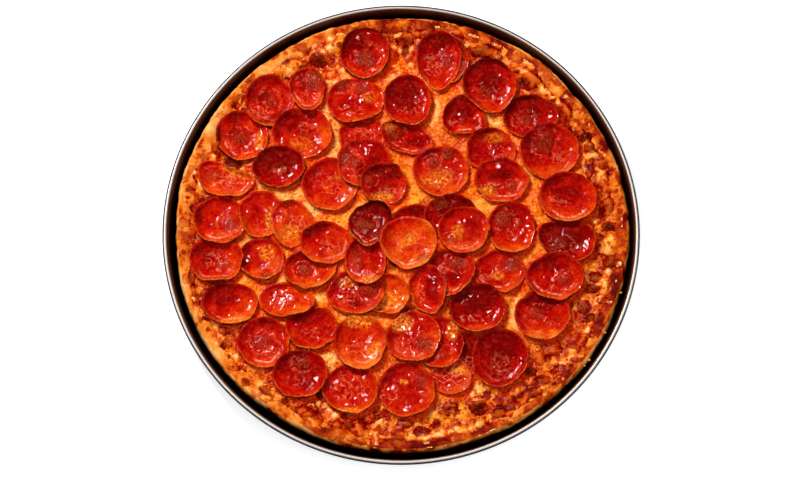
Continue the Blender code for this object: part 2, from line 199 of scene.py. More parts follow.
def blurred(grid, rounds):
    """A grid softened by averaging each cell with its neighbours."""
    for _ in range(rounds):
        grid = 0.5 * grid + 0.25 * (np.roll(grid, 1, 0) + np.roll(grid, -1, 0))
        grid = 0.5 * grid + 0.25 * (np.roll(grid, 1, 1) + np.roll(grid, -1, 1))
    return grid


def bubbles(x, y, size, seed):
    """Domes of uneven size at uneven places, from 0 to 1, and one random share for each dome."""
    table = np.random.default_rng(seed).random((128, 128, 4))
    i = np.floor(x / size).astype(int)
    j = np.floor(y / size).astype(int)
    best = np.zeros(x.shape)
    share = np.zeros(x.shape)
    for step_i in (-1, 0, 1):
        for step_j in (-1, 0, 1):
            cell = table[(i + step_i) & 127, (j + step_j) & 127]
            at_x = (i + step_i + 0.15 + 0.7 * cell[..., 0]) * size
            at_y = (j + step_j + 0.15 + 0.7 * cell[..., 1]) * size
            reach = 0.3 + 0.5 * cell[..., 2]
            away = np.hypot(x - at_x, y - at_y) / (size * reach)
            dome = np.clip(1.0 - away**2, 0.0, 1.0) * reach / 0.8
            share = np.where(dome > best, cell[..., 3], share)
            best = np.maximum(best, dome)
    return best, share


def spot(x, y, at_x, at_y, across, up, turn=0.0, rough=0.0, seed=0):
    """How far points are from a spot's middle, where its edge is at 1."""
    dx = x - at_x
    dy = y - at_y
    c = math.cos(math.radians(turn))
    s = math.sin(math.radians(turn))
    away = np.hypot((dx * c + dy * s) / across, (dy * c - dx * s) / up)
    if rough:
        away = away + rough * fractal(x, y, 0.8 * min(across, up), 3, seed)
    return away


# Helpers for meshes.


def lathe_faces(rings, steps):
    """Faces of a closed surface: a pole, rings of points and a second pole."""
    last = 1 + rings * steps
    faces = []
    for k in range(steps):
        after = (k + 1) % steps
        faces.append((0, 1 + k, 1 + after))
        for ring in range(rings - 1):
            inner = 1 + ring * steps
            outer = inner + steps
            faces.append((inner + k, outer + k, outer + after, inner + after))
        outer = 1 + (rings - 1) * steps
        faces.append((outer + k, last, outer + after))
    return faces


def linked(name, data):
    """A new object in the scene."""
    made = bpy.data.objects.new(name, data)
    bpy.context.scene.collection.objects.link(made)
    return made


def piece_from(name, points, faces, look, fields):
    """A smooth mesh that rides on the part, with one value per point for each field."""
    mesh = bpy.data.meshes.new(name)
    mesh.from_pydata((np.asarray(points) * MM).tolist(), [], faces)
    for field, values in fields.items():
        layer = mesh.attributes.new(field, "FLOAT", "POINT")
        layer.data.foreach_set("value", np.asarray(values, dtype=np.float32))
    mesh.materials.append(look)
    mesh.shade_smooth()
    made = linked(name, mesh)
    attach(made, "root")
    return made


def tree_of(nodes):
    """One search tree over the faces of these objects, in millimetres."""
    points = []
    faces = []
    for node in nodes:
        start = len(points)
        points += [vertex.co / MM for vertex in node.data.vertices]
        faces += [[start + k for k in face.vertices] for face in node.data.polygons]
    return BVHTree.FromPolygons(points, faces)


def heights(tree, x, y, start, direction, missing):
    """The height at which a ray up or down through each place first meets the tree."""
    found = np.full(x.shape, float(missing))
    way = Vector((0.0, 0.0, direction))
    for index in np.ndindex(x.shape):
        hit = tree.ray_cast(Vector((x[index], y[index], start)), way)[0]
        if hit is not None:
            found[index] = hit.z
    return found


# Helpers for materials.


def colour(red, green, blue):
    """A colour as a picture shows it, made linear."""
    parts = [value / 255.0 for value in (red, green, blue)]
    return (*[v / 12.92 if v <= 0.04045 else ((v + 0.055) / 1.055) ** 2.4 for v in parts], 1.0)


class Look:
    """A material and the nodes that make it."""

    def __init__(self, name):
        self.material = bpy.data.materials.new(name)
        self.material.use_nodes = True
        self.tree = self.material.node_tree
        self.shader = self.tree.nodes["Principled BSDF"]
        self.place = self.node("TexCoord", "Object", {})

    def join(self, value, socket):
        if isinstance(value, bpy.types.NodeSocket):
            self.tree.links.new(value, socket)
        else:
            socket.default_value = value

    def node(self, kind, output, inputs, **settings):
        """Adds a node, whose inputs are plain values or other nodes' outputs."""
        node = self.tree.nodes.new("ShaderNode" + kind)
        for name, value in settings.items():
            setattr(node, name, value)
        for name, value in inputs.items():
            self.join(value, node.inputs[name])
        return node.outputs[output]

    def field(self, name):
        return self.node("Attribute", "Fac", {}, attribute_name=name)

    def noise(self, size, detail=4.0, roughness=0.6, distortion=0.0, place=None):
        """Noise whose lumps are about this many millimetres across."""
        inputs = {"Scale": 1.0 / (size * MM), "Detail": detail, "Roughness": roughness, "Distortion": distortion}
        return self.node("TexNoise", "Fac", {**inputs, "Vector": place or self.place})

    def cells(self, size):
        """How far each point is from the edge of its cell."""
        inputs = {"Scale": 1.0 / (size * MM), "Vector": self.place}
        return self.node("TexVoronoi", "Distance", inputs, feature="DISTANCE_TO_EDGE")

    def math(self, kind, first, second=0.5, third=0.0):
        return self.node("Math", 0, {0: first, 1: second, 2: third}, operation=kind)

    def plus(self, first, *others):
        for other in others:
            first = self.math("ADD", first, other)
        return first

    def times(self, first, *others):
        for other in others:
            first = self.math("MULTIPLY", first, other)
        return first

    def scaled(self, value, scale, more):
        return self.math("MULTIPLY_ADD", value, scale, more)

    def lines(self, value, wide, thin):
        """Lines where a smooth value crosses its middle, which fade between two distances."""
        return self.between(self.math("ABSOLUTE", self.math("SUBTRACT", value, 0.5)), wide, thin)

    def between(self, value, low, high):
        """0 below low, 1 above high and smooth in between. The two may be swapped."""
        inputs = {"Value": value, "From Min": low, "From Max": high}
        return self.node("MapRange", "Result", inputs, interpolation_type="SMOOTHSTEP")

    def patchy(self, name, value, low, high):
        """A field that shows only where a value is high."""
        return self.times(self.field(name), self.between(value, low, high))

    def ramp(self, value, *stops):
        """Colours by value. A stop is its place and the colour as a picture shows it."""
        node = self.tree.nodes.new("ShaderNodeValToRGB")
        stops = [(place, colour(*shade)) for place, *shade in stops]
        ends = node.color_ramp.elements
        for element, (place, shade) in ((ends[1], stops[-1]), (ends[0], stops[0])):
            element.position = place
            element.color = shade
        for place, shade in stops[1:-1]:
            node.color_ramp.elements.new(place).color = shade
        self.join(value, node.inputs["Fac"])
        return node.outputs["Color"]

    def lay(self, share, over):
        """Lays a colour, from a node or as a picture shows it, over the base by its share."""
        if isinstance(over, tuple):
            over = colour(*over)
        self.base = self.node("Mix", "Result", {"Factor": share, "A": self.base, "B": over}, data_type="RGBA")

    def bump(self, height, depth, before=None):
        """Makes a height from 0 to 1 read as a relief of this many millimetres."""
        inputs = {"Strength": 1.0, "Distance": depth * MM, "Height": height}
        if before is not None:
            inputs["Normal"] = before
        return self.node("Bump", "Normal", inputs)

    def finish(self, roughness, normal, metallic=0.0, shine=0.5):
        self.join(self.base, self.shader.inputs["Base Color"])
        self.join(roughness, self.shader.inputs["Roughness"])
        self.join(metallic, self.shader.inputs["Metallic"])
        self.join(normal, self.shader.inputs["Normal"])
        self.shader.inputs["Specular IOR Level"].default_value = shine
        return self.material


def pepperoni_look():
    look = Look("Pepperoni")
    coarse = look.noise(5.0, 3.0, 0.55, 0.5)
    fine = look.noise(1.3, 3.0, 0.6, 0.4)
    mottle = look.between(look.noise(3.6, 3.0, 0.6, 1.2), 0.5, 0.58)
    tone = look.plus(look.field("tone"), look.scaled(coarse, 0.5, -0.28), look.scaled(fine, 0.6, -0.3))
    tone = look.plus(tone, look.scaled(mottle, -0.12, 0.05))
    reds = [(0.0, 112, 0, 0), (0.2, 146, 0, 0), (0.36, 172, 6, 0), (0.5, 188, 24, 0)]
    reds += [(0.64, 203, 48, 2), (0.8, 216, 74, 10), (1.0, 232, 114, 34)]
    look.base = look.ramp(tone, *reds)
    # Pale specks, partly of fat and partly painted sheen, and thin glints of oil that are painted highlights.
    painted_sheen = look.field("painted_sheen")
    specks = look.between(look.noise(3.2, 1.0, 0.5, 0.3), 0.5, 0.66)
    look.lay(look.times(specks, look.scaled(painted_sheen, 0.4, 0.06)), (226, 100, 62))
    painted_glint = look.lines(look.noise(5.6, 0.0, 0.5, 0.6), 0.05, 0.012)
    painted_glint = look.times(painted_glint, look.scaled(painted_sheen, 0.6, 0.02), look.between(fine, 0.4, 0.56))
    look.lay(painted_glint, (248, 150, 112))
    # The painted highlight in an arc on the near side of some slices.
    highlight_arc = look.patchy("highlight_arc", look.noise(3.4, 2.0), 0.4, 0.54)
    look.lay(highlight_arc, (252, 176, 146))
    # Cheese that clings to the slice, browned blisters and burnt rims.
    gold = look.patchy("gold", look.noise(2.4, 4.0, 0.7, 0.8), 0.38, 0.58)
    shade = look.ramp(look.noise(1.8, 3.0), (0.34, 206, 72, 6), (0.5, 232, 124, 20), (0.66, 248, 178, 74))
    look.lay(gold, shade)
    blister = look.between(look.cells(1.4), 0.02, 0.25)
    brown = look.ramp(blister, (0.0, 84, 0, 0), (0.5, 140, 24, 0), (1.0, 200, 78, 24))
    look.lay(look.times(look.field("brown"), 0.7), brown)
    burnt = look.patchy("char", look.noise(2.2, 3.0), 0.3, 0.5)
    look.lay(burnt, (44, 4, 0))
    # The thin tan rim and its dark specks; the rim field lays them mostly on the near side, as painted light.
    grain = look.noise(1.3, 3.0, 0.6)
    look.lay(look.patchy("rim", grain, 0.42, 0.54), (224, 124, 58))
    look.lay(look.patchy("rim", grain, 0.42, 0.34), (110, 24, 0))
    normal = look.bump(look.noise(5.5, 0.0, 0.5, 0.8), 0.7)
    normal = look.bump(look.noise(2.4, 0.0, 0.5, 0.8), 0.12, normal)
    normal = look.bump(look.times(blister, look.field("brown")), 0.35, normal)
    rough = look.scaled(look.between(coarse, 0.3, 0.7), 0.06, 0.05)
    rough = look.scaled(look.field("brown"), 0.2, rough)
    return look.finish(rough, normal, shine=0.15)


def cheese_look():
    look = Look("Cheese")
    coarse = look.noise(6.0, 4.0, 0.6, 0.6)
    fine = look.noise(1.9, 3.0, 0.6, 0.7)
    tone = look.plus(look.times(coarse, 0.5), look.scaled(fine, 0.6, -0.05))
    # Painted light and shade: the tone rises on crests and falls in hollows.
    tone = look.plus(tone, look.scaled(look.field("crest_shading"), 0.6, -0.3))
    oranges = [(0.16, 122, 2, 0), (0.32, 170, 24, 0), (0.44, 202, 58, 0)]
    oranges += [(0.55, 226, 104, 8), (0.68, 242, 148, 40), (0.86, 252, 200, 110)]
    look.base = look.ramp(tone, *oranges)
    # Bare cheese: pale, golden, then stained by the fat of the slices.
    share = look.patchy("pale", tone, 0.36, 0.54)
    shade = look.ramp(tone, (0.36, 226, 120, 30), (0.5, 244, 176, 84), (0.7, 252, 216, 150))
    look.lay(share, shade)
    share = look.patchy("gold", fine, 0.3, 0.5)
    look.lay(share, look.ramp(tone, (0.36, 222, 96, 4), (0.6, 248, 160, 24)))
    share = look.patchy("stain", look.noise(4.0, 4.0, 0.6, 1.0), 0.34, 0.58)
    shade = look.ramp(tone, (0.3, 134, 4, 0), (0.46, 184, 26, 0), (0.6, 218, 68, 4), (0.76, 240, 124, 34))
    look.lay(share, shade)
    # Painted highlights: thin pale glints on the cheese.
    painted_glint = look.times(look.lines(look.noise(3.0, 3.0, 0.5, 1.5), 0.03, 0.004), look.between(fine, 0.5, 0.6))
    look.lay(look.times(painted_glint, 0.7), (252, 184, 116))
    # Browned blisters, the painted shade under the slices' edges, dark places, which are painted shade in the gaps
    # and burnt cheese on blisters, and specks of herb.
    share = look.scaled(look.noise(4.5, 3.0, 0.6, 0.8), 1.6, look.math("SUBTRACT", look.field("brown"), 0.8))
    shade = look.ramp(tone, (0.3, 84, 0, 0), (0.46, 132, 12, 0), (0.58, 174, 40, 2), (0.72, 214, 90, 20))
    look.lay(look.between(share, 0.42, 0.58), shade)
    shade = look.ramp(fine, (0.36, 178, 12, 0), (0.5, 208, 38, 0), (0.66, 234, 74, 2))
    look.lay(look.field("contact"), shade)
    share = look.patchy("deep", fine, 0.26, 0.4)
    look.lay(share, look.ramp(fine, (0.4, 50, 0, 0), (0.62, 108, 16, 0)))
    specks = look.between(look.noise(1.5, 1.0, 0.5), 0.66, 0.72)
    look.lay(look.times(specks, look.scaled(look.field("pale"), 0.8, 0.1)), (84, 30, 6))
    normal = look.bump(fine, 0.3, look.bump(coarse, 1.0))
    rough = look.scaled(look.between(fine, 0.3, 0.7), 0.1, 0.1)
    return look.finish(rough, normal, shine=0.07)


def crust_look():
    look = Look("Crust")
    coarse = look.noise(11.0, 4.0, 0.6, 0.4)
    fine = look.noise(1.7, 4.0, 0.65, 0.4)
    tone = look.plus(look.times(coarse, 0.9), look.scaled(fine, 0.45, -0.175))
    # Painted light and shade: the tone rises on lumps and falls in hollows.
    tone = look.plus(tone, look.scaled(look.field("crest_shading"), 0.5, -0.25), look.field("tint"))
    baked = [(0.2, 120, 12, 0), (0.36, 166, 40, 0), (0.48, 198, 76, 4)]
    baked += [(0.6, 224, 114, 24), (0.8, 242, 150, 62), (1.0, 250, 182, 106)]
    look.base = look.ramp(tone, *baked)
    brown = look.scaled(look.noise(4.0, 4.0, 0.6, 0.8), 1.6, look.math("SUBTRACT", look.field("brown"), 0.8))
    shade = look.ramp(tone, (0.3, 94, 2, 0), (0.5, 150, 32, 0), (0.7, 188, 70, 12), (0.9, 216, 108, 36))
    look.lay(look.between(brown, 0.44, 0.7), shade)
    # Painted shade: the dough is dark down its outer side, in the gap by the pan's wall.
    look.lay(look.field("low"), (44, 4, 0))
    normal = look.bump(fine, 0.5, look.bump(coarse, 1.0))
    return look.finish(look.scaled(fine, 0.25, 0.5), normal, shine=0.06)


def pan_look():
    look = Look("Pan_steel")
    stretched = look.node("Mapping", "Vector", {"Vector": look.place, "Scale": (0.02, 0.02, 1.6)})
    lines = look.noise(0.9, 3.0, 0.7, 0.0, stretched)
    uneven = look.scaled(look.math("SUBTRACT", lines, 0.5), 0.4, look.field("wall"))
    browns = [(0.5, 5, 0, 0), (0.66, 20, 1, 0), (0.8, 38, 6, 1), (0.92, 70, 30, 14), (1.0, 104, 66, 44)]
    inner = look.ramp(uneven, *browns)
    # The rolled rim from its inner foot, over its top and down its outer side: steel, with a painted highlight along
    # its bright top and painted shade on its dark outer side.
    tint = look.scaled(look.math("SUBTRACT", look.noise(14.0, 4.0), 0.5), 0.06, look.field("bead"))
    steel_highlights_and_shade = [(0.0, 70, 42, 26), (0.2, 98, 66, 48), (0.26, 156, 136, 126), (0.33, 222, 208, 200)]
    steel_highlights_and_shade += [(0.41, 206, 198, 194), (0.46, 104, 100, 104), (0.5, 42, 40, 44), (0.62, 24, 22, 26), (1.0, 20, 18, 20)]
    bead = look.between(look.field("bead"), 0.0, 0.02)
    look.base = inner
    look.lay(bead, look.ramp(tint, *steel_highlights_and_shade))
    outer = look.ramp(lines, (0.3, 46, 42, 42), (0.7, 96, 90, 88))
    look.lay(look.field("outside"), outer)
    rough = look.scaled(lines, 0.2, 0.3)
    return look.finish(rough, look.bump(lines, 0.05), metallic=look.times(bead, 0.3), shine=0.12)


# The pan.


def pan_profile(rim, height):
    """(radius, height, wall share, bead share, outside share) from the floor up and round."""
    bead_r = rim - BEAD_RADIUS
    bead_z = height - BEAD_RADIUS
    foot = SHEET + 1.4
    rows = [(40.0 * k, SHEET, 0.0, 0.0, 0.0) for k in range(1, 5)]
    rows.append((FLOOR_RADIUS, SHEET, 0.0, 0.0, 0.0))
    rows.append((WALL_FOOT_RADIUS - 0.3, SHEET + 0.5, 0.0, 0.0, 0.0))
    rows.append((WALL_FOOT_RADIUS, foot, 0.0, 0.0, 0.0))
    for share in np.linspace(0.1, 1.0, 10):
        radius = WALL_FOOT_RADIUS + (WALL_TOP_RADIUS - WALL_FOOT_RADIUS) * share
        rows.append((radius, foot + (WALL_TOP - foot) * share, share, 0.0, 0.0))
    for degrees in range(180, -91, -15):
        turn = math.radians(degrees)
        bead = (195.0 - degrees) / 285.0
        rows.append((bead_r + BEAD_RADIUS * math.cos(turn), bead_z + BEAD_RADIUS * math.sin(turn), 1.0, bead, 0.0))
    rows.append((WALL_TOP_RADIUS + SHEET, bead_z - BEAD_RADIUS - 0.2, 0.0, 0.0, 1.0))
    rows.append((WALL_FOOT_RADIUS + SHEET, SHEET + 0.8, 0.0, 0.0, 1.0))
    rows.append((FLOOR_RADIUS + 0.6, 0.0, 0.0, 0.0, 1.0))
    rows.append((90.0, 0.0, 0.0, 0.0, 1.0))
    return np.array(rows)


def make_pan(look):
    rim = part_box("pan")[1]
    rows = pan_profile(rim.x / MM, rim.z / MM)
    turn = steps_round(PAN_STEPS)
    radius, height, wall, bead, outside = (rows[:, k : k + 1] for k in range(5))
    points = round_points((0.0, 0.0), radius, turn, height).reshape(-1, 3)
    points = np.vstack([[0.0, 0.0, SHEET], points, [0.0, 0.0, 0.0]])
    # Painted light and shade: the wall is paler at the near left, and the rim turns dark earlier on its far side.
    wall = wall - WALL_VARIES * np.clip(np.cos(turn - math.radians(WALL_DARK_SIDE)), -1.0, 0.3) * rise(wall, 0.0, 0.3)
    bead = bead + BEAD_VARIES * np.clip(np.sin(turn), -0.3, 1.0) * rise(bead, 0.3, 0.06)
    fields = {}
    for name, values in (("wall", wall), ("bead", bead), ("outside", outside)):
        values = np.broadcast_to(values, (len(rows), PAN_STEPS)).ravel()
        fields[name] = np.concatenate([values[:1], values, values[-1:]])
    made = piece_from("pan_baked", points, lathe_faces(len(rows), PAN_STEPS), look, fields)
    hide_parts("pan")


# The slices.


@dataclass
class Patch:
    """A spot on a slice: what it is, where, its half sizes, its strength and its turn."""

    kind: str
    x: float
    y: float
    across: float
    up: float
    strength: float = 1.0
    turn: float = 0.0


# Patch makers by kind; the pale pink patches are a painted sheen on the slice.
PaintedSheen, Gold, Dark, Red, Orange, Brown, Char = (
    partial(Patch, kind) for kind in ("painted_sheen", "gold", "dark", "red", "orange", "brown", "char")
)


class Finish:
    """How a slice is coloured: its tone, its lean (the painted light that makes its near side lighter), patches and a
    burnt arc.
    """

    def __init__(self, tone, lean, *patches, burnt=None):
        self.tone = tone
        self.lean = lean
        self.patches = patches
        self.burnt = burnt


BUMPS = {"brown": 1.7, "gold": 0.5, "orange": 0.15, "painted_sheen": 0.3}
# The directions in degrees of a slice's painted light, which makes that side lighter, of the painted light on its
# near rim, and of the painted shade on its far wall.
PAINTED_LIGHT_SIDE = -62.0
RIM_PAINTED_LIT_SIDE = -80.0
IN_SHADE = 125.0
TONE_CHANGES = {"dark": -0.3, "red": -0.16, "orange": 0.24}

FINISHES = [
    Finish(0.5, 0.1, PaintedSheen(36, -108, 12, 10), Gold(44, -104, 6, 4)),
    Finish(0.42, 0.14, Brown(16, -112, 5, 6, 0.5), PaintedSheen(-8, -122, 8, 7), Gold(2, -113, 3, 2)),
    Finish(0.44, 0.16, PaintedSheen(-38, -117, 12, 10, 0.8), Gold(-38, -135, 15, 2.5, 0.8)),
    Finish(0.4, 0.1, Gold(38, -74, 4, 8, 0.8), Dark(44, -84, 3, 10, 0.8), Brown(28, -92, 6, 5, 0.4)),
    Finish(0.4, 0.2, Brown(-103, -82, 6, 5, 0.5), PaintedSheen(-96, -90, 6, 5, 0.6)),
    Finish(0.26, 0.16, Brown(-73, -99, 5, 4, 0.8), PaintedSheen(-78, -112, 7, 5, 0.5)),
    Finish(0.38, 0.22, Dark(-68, -62, 12, 5, 0.6), PaintedSheen(-66, -74, 8, 4, 0.5)),
    Finish(0.6, 0.14, Gold(-32, -66, 12, 4.5), Gold(-20, -90, 6, 8, 0.8), Red(-38, -80, 8, 10, 0.5),
           PaintedSheen(-32, -86, 9, 8, 0.6)),
    Finish(0.45, 0.12, Gold(0, -68, 8, 6, 0.9), Brown(18, -85, 6.5, 5.5, 0.8), PaintedSheen(2, -84, 7, 6, 0.7),
           Dark(10, -83, 4, 5, 0.5)),
    Finish(0.4, 0.3, Dark(-134, -46, 12, 8, 0.7), Orange(-117, -58, 8, 8, 0.8), Gold(-122, -66, 12, 3, 0.7)),
    Finish(0.44, 0.14, Gold(-100, -13, 6, 6, 0.9), Brown(-100, -31, 4.5, 3.5, 0.8), Dark(-116, -18, 4, 11, 0.8),
           Orange(-94, -20, 6, 8, 0.5)),
    Finish(0.42, 0.2, Dark(-146, -12, 9, 6, 0.6), PaintedSheen(-138, -19, 8, 7, 0.5), Brown(-132, -22, 4, 3, 0.5)),
    Finish(0.44, 0.1, Brown(-126, 9, 5.5, 6, 0.6), Char(-151, 14, 3, 8, 0.5), Orange(-138, 0, 10, 6, 0.5)),
    Finish(0.48, 0.12, Gold(-95, 13, 6, 9, 0.8), Red(-110, 18, 7, 11, 0.6), PaintedSheen(-104, 8, 7, 5, 0.5)),
    Finish(0.56, 0.08, Gold(-82, 2, 8, 6, 0.9), Brown(-86, 27, 5.5, 4.5, 0.9), PaintedSheen(-78, 12, 8, 8, 0.9)),
    Finish(0.6, 0.1, Gold(-124, 50, 10, 3, 0.8, -25), PaintedSheen(-130, 42, 13, 7, 0.9), Brown(-140, 46, 5, 4, 0.4)),
    Finish(0.4, 0.18, Brown(-120, 76, 6, 5, 0.7), Char(-137, 74, 2.5, 9, 0.8), Gold(-106, 74, 3.5, 7, 0.8)),
    Finish(0.38, 0.2, PaintedSheen(-106, 96, 8, 6, 0.8), Brown(-98, 104, 5, 5, 0.5), Char(-98, 88, 10, 2, 0.5)),
    Finish(0.4, 0.16, Dark(-84, 90, 11, 6, 0.8), Orange(-57, 80, 5, 12, 0.7), Gold(-74, 72, 9, 5, 0.5),
           PaintedSheen(-70, 84, 7, 5, 0.5)),
    Finish(0.4, 0.1, Brown(-65, 121, 7, 7, 0.9), Dark(-76, 118, 4, 8, 0.6), PaintedSheen(-70, 106, 6, 5, 0.5)),
    Finish(0.14, 0.3, Dark(-94, 58, 14, 7, 0.8), PaintedSheen(-90, 51, 7, 3, 0.7), Orange(-84, 42, 9, 3, 0.6)),
    Finish(0.58, 0.16, PaintedSheen(-88, -48, 10, 7, 0.8), Orange(-80, -58, 14, 4, 0.6), Red(-92, -44, 9, 5, 0.5)),
    Finish(0.48, 0.28, Brown(-72, -27, 5, 4, 0.9), Dark(-76, -18, 9, 5, 0.7), Orange(-66, -38, 12, 3.5, 0.8)),
    Finish(0.46, 0.24, Dark(-64, 4, 10, 5, 0.9, 30), PaintedSheen(-52, -8, 8, 6, 0.7), Orange(-48, -14, 9, 5, 0.5)),
    Finish(0.64, 0.08, Gold(-8, -50, 8, 7, 0.9), Orange(-12, -38, 8, 6, 0.5), Dark(-7, -31, 5, 3, 0.7)),
    Finish(0.4, 0.14, Brown(-24, -43, 6.5, 5.5, 0.8), Gold(-40, -36, 7, 4, 0.5), PaintedSheen(-40, -48, 8, 6, 0.6),
           Dark(-33, -52, 6, 4, 0.5)),
    Finish(0.46, 0.1, Brown(-33, -20, 5, 9, 0.6), Gold(-22, -36, 9, 2.5, 0.9), Red(-18, -18, 6, 9, 0.6)),
    Finish(0.46, 0.18, PaintedSheen(-58, 46, 6, 4, 0.7), PaintedSheen(-52, 36, 8, 5, 0.7), Dark(-60, 50, 9, 6, 0.4),
           Gold(-44, 46, 6, 4, 0.3)),
    Finish(0.42, 0.06, PaintedSheen(-28, 78, 10, 6, 0.6), Orange(-34, 72, 8, 5, 0.4)),
    Finish(0.3, 0.16, Brown(-5, 79, 5, 4, 0.7), Dark(14, 74, 8, 5, 0.8), Gold(-10, 84, 6, 3, 0.5)),
    Finish(0.4, 0.2, Brown(-41, 59, 5.5, 5, 0.8), Brown(-34, 55, 4, 3.5, 0.6), PaintedSheen(-30, 44, 7, 4, 0.9),
           Dark(-18, 64, 9, 6, 0.5)),
    Finish(0.34, 0.2, Dark(-13, 48, 12, 5, 0.8), Gold(-14, 30, 8, 3.5, 0.9), Brown(-24, 42, 4, 3.5, 0.5),
           PaintedSheen(-10, 34, 7, 4, 0.9)),
    Finish(0.46, 0.3, Brown(34, 63, 4.5, 3.5, 0.9), Brown(24, 57, 4, 3.5, 0.8), Gold(28, 44, 12, 7, 0.7),
           PaintedSheen(36, 48, 6, 5, 0.6)),
    Finish(0.4, 0.14, Brown(-44, 118, 5, 4, 0.8), Brown(-30, 115, 5, 4, 0.7), PaintedSheen(-36, 98, 10, 5, 0.6),
           Gold(-24, 108, 5, 4, 0.4)),
    Finish(0.22, 0.24, PaintedSheen(4, 97, 5, 3, 0.9), PaintedSheen(12, 100, 3, 5, 0.7), Dark(5, 112, 11, 6, 0.6)),
    Finish(0.26, 0.26, Brown(-26, 137, 7, 6, 0.9), Dark(-34, 150, 9, 5, 0.7), PaintedSheen(-20, 130, 5, 4, 0.5),
           burnt=(100, 70, 0.7)),
    Finish(0.28, 0.24, PaintedSheen(24, 132, 7, 8, 0.8), Dark(30, 150, 9, 6, 0.7), Brown(34, 136, 4, 5, 0.4)),
    Finish(0.24, 0.22, Dark(48, 96, 6, 4, 0.9), PaintedSheen(42, 88, 6, 3, 0.7), Orange(50, 84, 7, 3, 0.6)),
    Finish(0.24, 0.26, Dark(66, 120, 9, 7, 0.8), Brown(62, 112, 5, 4, 0.6), PaintedSheen(72, 110, 5, 4, 0.6),
           Orange(64, 102, 9, 3, 0.5), burnt=(95, 55, 0.8)),
    Finish(0.24, 0.2, Dark(100, 97, 6, 4, 1.0), Brown(92, 90, 5, 4, 0.6), PaintedSheen(106, 88, 6, 3, 0.5),
           burnt=(140, 50, 0.8)),
    Finish(0.36, 0.14, Dark(55, 63, 5, 7, 0.6), Gold(70, 76, 8, 3.5, 0.5), PaintedSheen(72, 64, 7, 6, 0.6)),
    Finish(0.36, 0.3, Brown(108, 72, 5.5, 7, 0.8), Orange(110, 51, 14, 4, 0.8), Dark(100, 74, 8, 7, 0.5),
           PaintedSheen(118, 62, 6, 5, 0.6)),
    Finish(0.4, 0.18, Gold(64, 34, 7, 4, 0.9), Dark(76, 47, 12, 4, 0.6), PaintedSheen(68, 39, 11, 2, 0.8),
           Brown(84, 38, 4, 3.5, 0.5)),
    Finish(0.18, 0.22, Dark(124, -1, 13, 8, 0.7), Brown(119, -6, 5, 4, 0.5), PaintedSheen(130, -9, 6, 3, 0.5)),
    Finish(0.4, 0.3, Orange(107, 27, 5, 12, 0.7), Dark(126, 33, 10, 7, 0.6), PaintedSheen(113, 28, 4, 5, 0.8),
           PaintedSheen(121, 26, 5, 3, 0.8), Orange(126, 14, 15, 4, 0.7)),
    Finish(0.42, 0.14, Brown(83, -22, 6, 5, 0.7), Dark(84, -21, 5, 4, 1.0), Gold(72, -31, 4.5, 3, 0.8),
           PaintedSheen(62, -30, 6, 5, 0.5)),
    Finish(0.4, 0.28, Brown(76, 13, 6, 5, 0.8), PaintedSheen(85, 0, 5, 5, 0.7), Orange(82, -10, 12, 4, 0.8),
           Dark(88, 16, 8, 6, 0.5)),
    Finish(0.38, 0.34, Brown(101, -60, 5, 4, 0.6), Orange(106, -76, 14, 4, 0.9), Dark(106, -52, 13, 6, 0.6),
           PaintedSheen(108, -66, 7, 4, 0.5)),
    Finish(0.36, 0.16, Dark(114, -23, 15, 5, 0.7), PaintedSheen(113, -41, 7, 3, 0.7), Brown(122, -34, 5, 4, 0.5)),
    Finish(0.18, 0.14, PaintedSheen(74, -100, 8, 9, 0.4), Orange(56, -94, 3, 14, 0.9), Dark(76, -86, 12, 8, 0.6)),
    Finish(0.2, 0.3, PaintedSheen(52, -64, 13, 2.5, 0.9), Dark(58, -50, 14, 8, 0.6), Orange(58, -71, 14, 2.5, 0.7)),
    Finish(0.2, 0.1, Dark(40, 22, 14, 6, 0.6), Brown(30, 24, 5, 4, 0.6)),
    Finish(0.34, 0.22, Brown(43, -21, 6, 5, 0.8), Dark(36, -32, 8, 6, 0.5), Orange(32, -42, 7, 3, 0.7),
           PaintedSheen(30, -30, 4, 6, 0.5)),
    Finish(0.44, 0.16, Gold(42, 2, 4.5, 5, 0.7), PaintedSheen(50, -8, 9, 2.5, 0.7), Dark(54, 10, 8, 6, 0.5),
           Brown(38, -4, 4, 3.5, 0.4)),
    Finish(0.4, 0.12, Orange(10, -42, 3.5, 15, 1.0), PaintedSheen(15, -44, 2.5, 9, 0.9), Dark(24, -40, 6, 10, 0.7)),
    Finish(0.08, 0.2, Brown(-27, 8, 5.5, 6.5, 0.9, 60), Orange(-36, 2, 3, 12, 0.5), PaintedSheen(-20, -1, 4, 4, 0.7),
           Gold(-24, -10, 8, 2.5, 0.7), burnt=(60, 62, 1.0)),
    Finish(0.7, 0.12, Gold(6, -3, 4, 10, 0.8, -50), Brown(16, -18, 6, 3, 0.7, 40), Red(-2, 8, 10, 5, 0.8),
           PaintedSheen(2, -6, 8, 8, 0.4)),
]


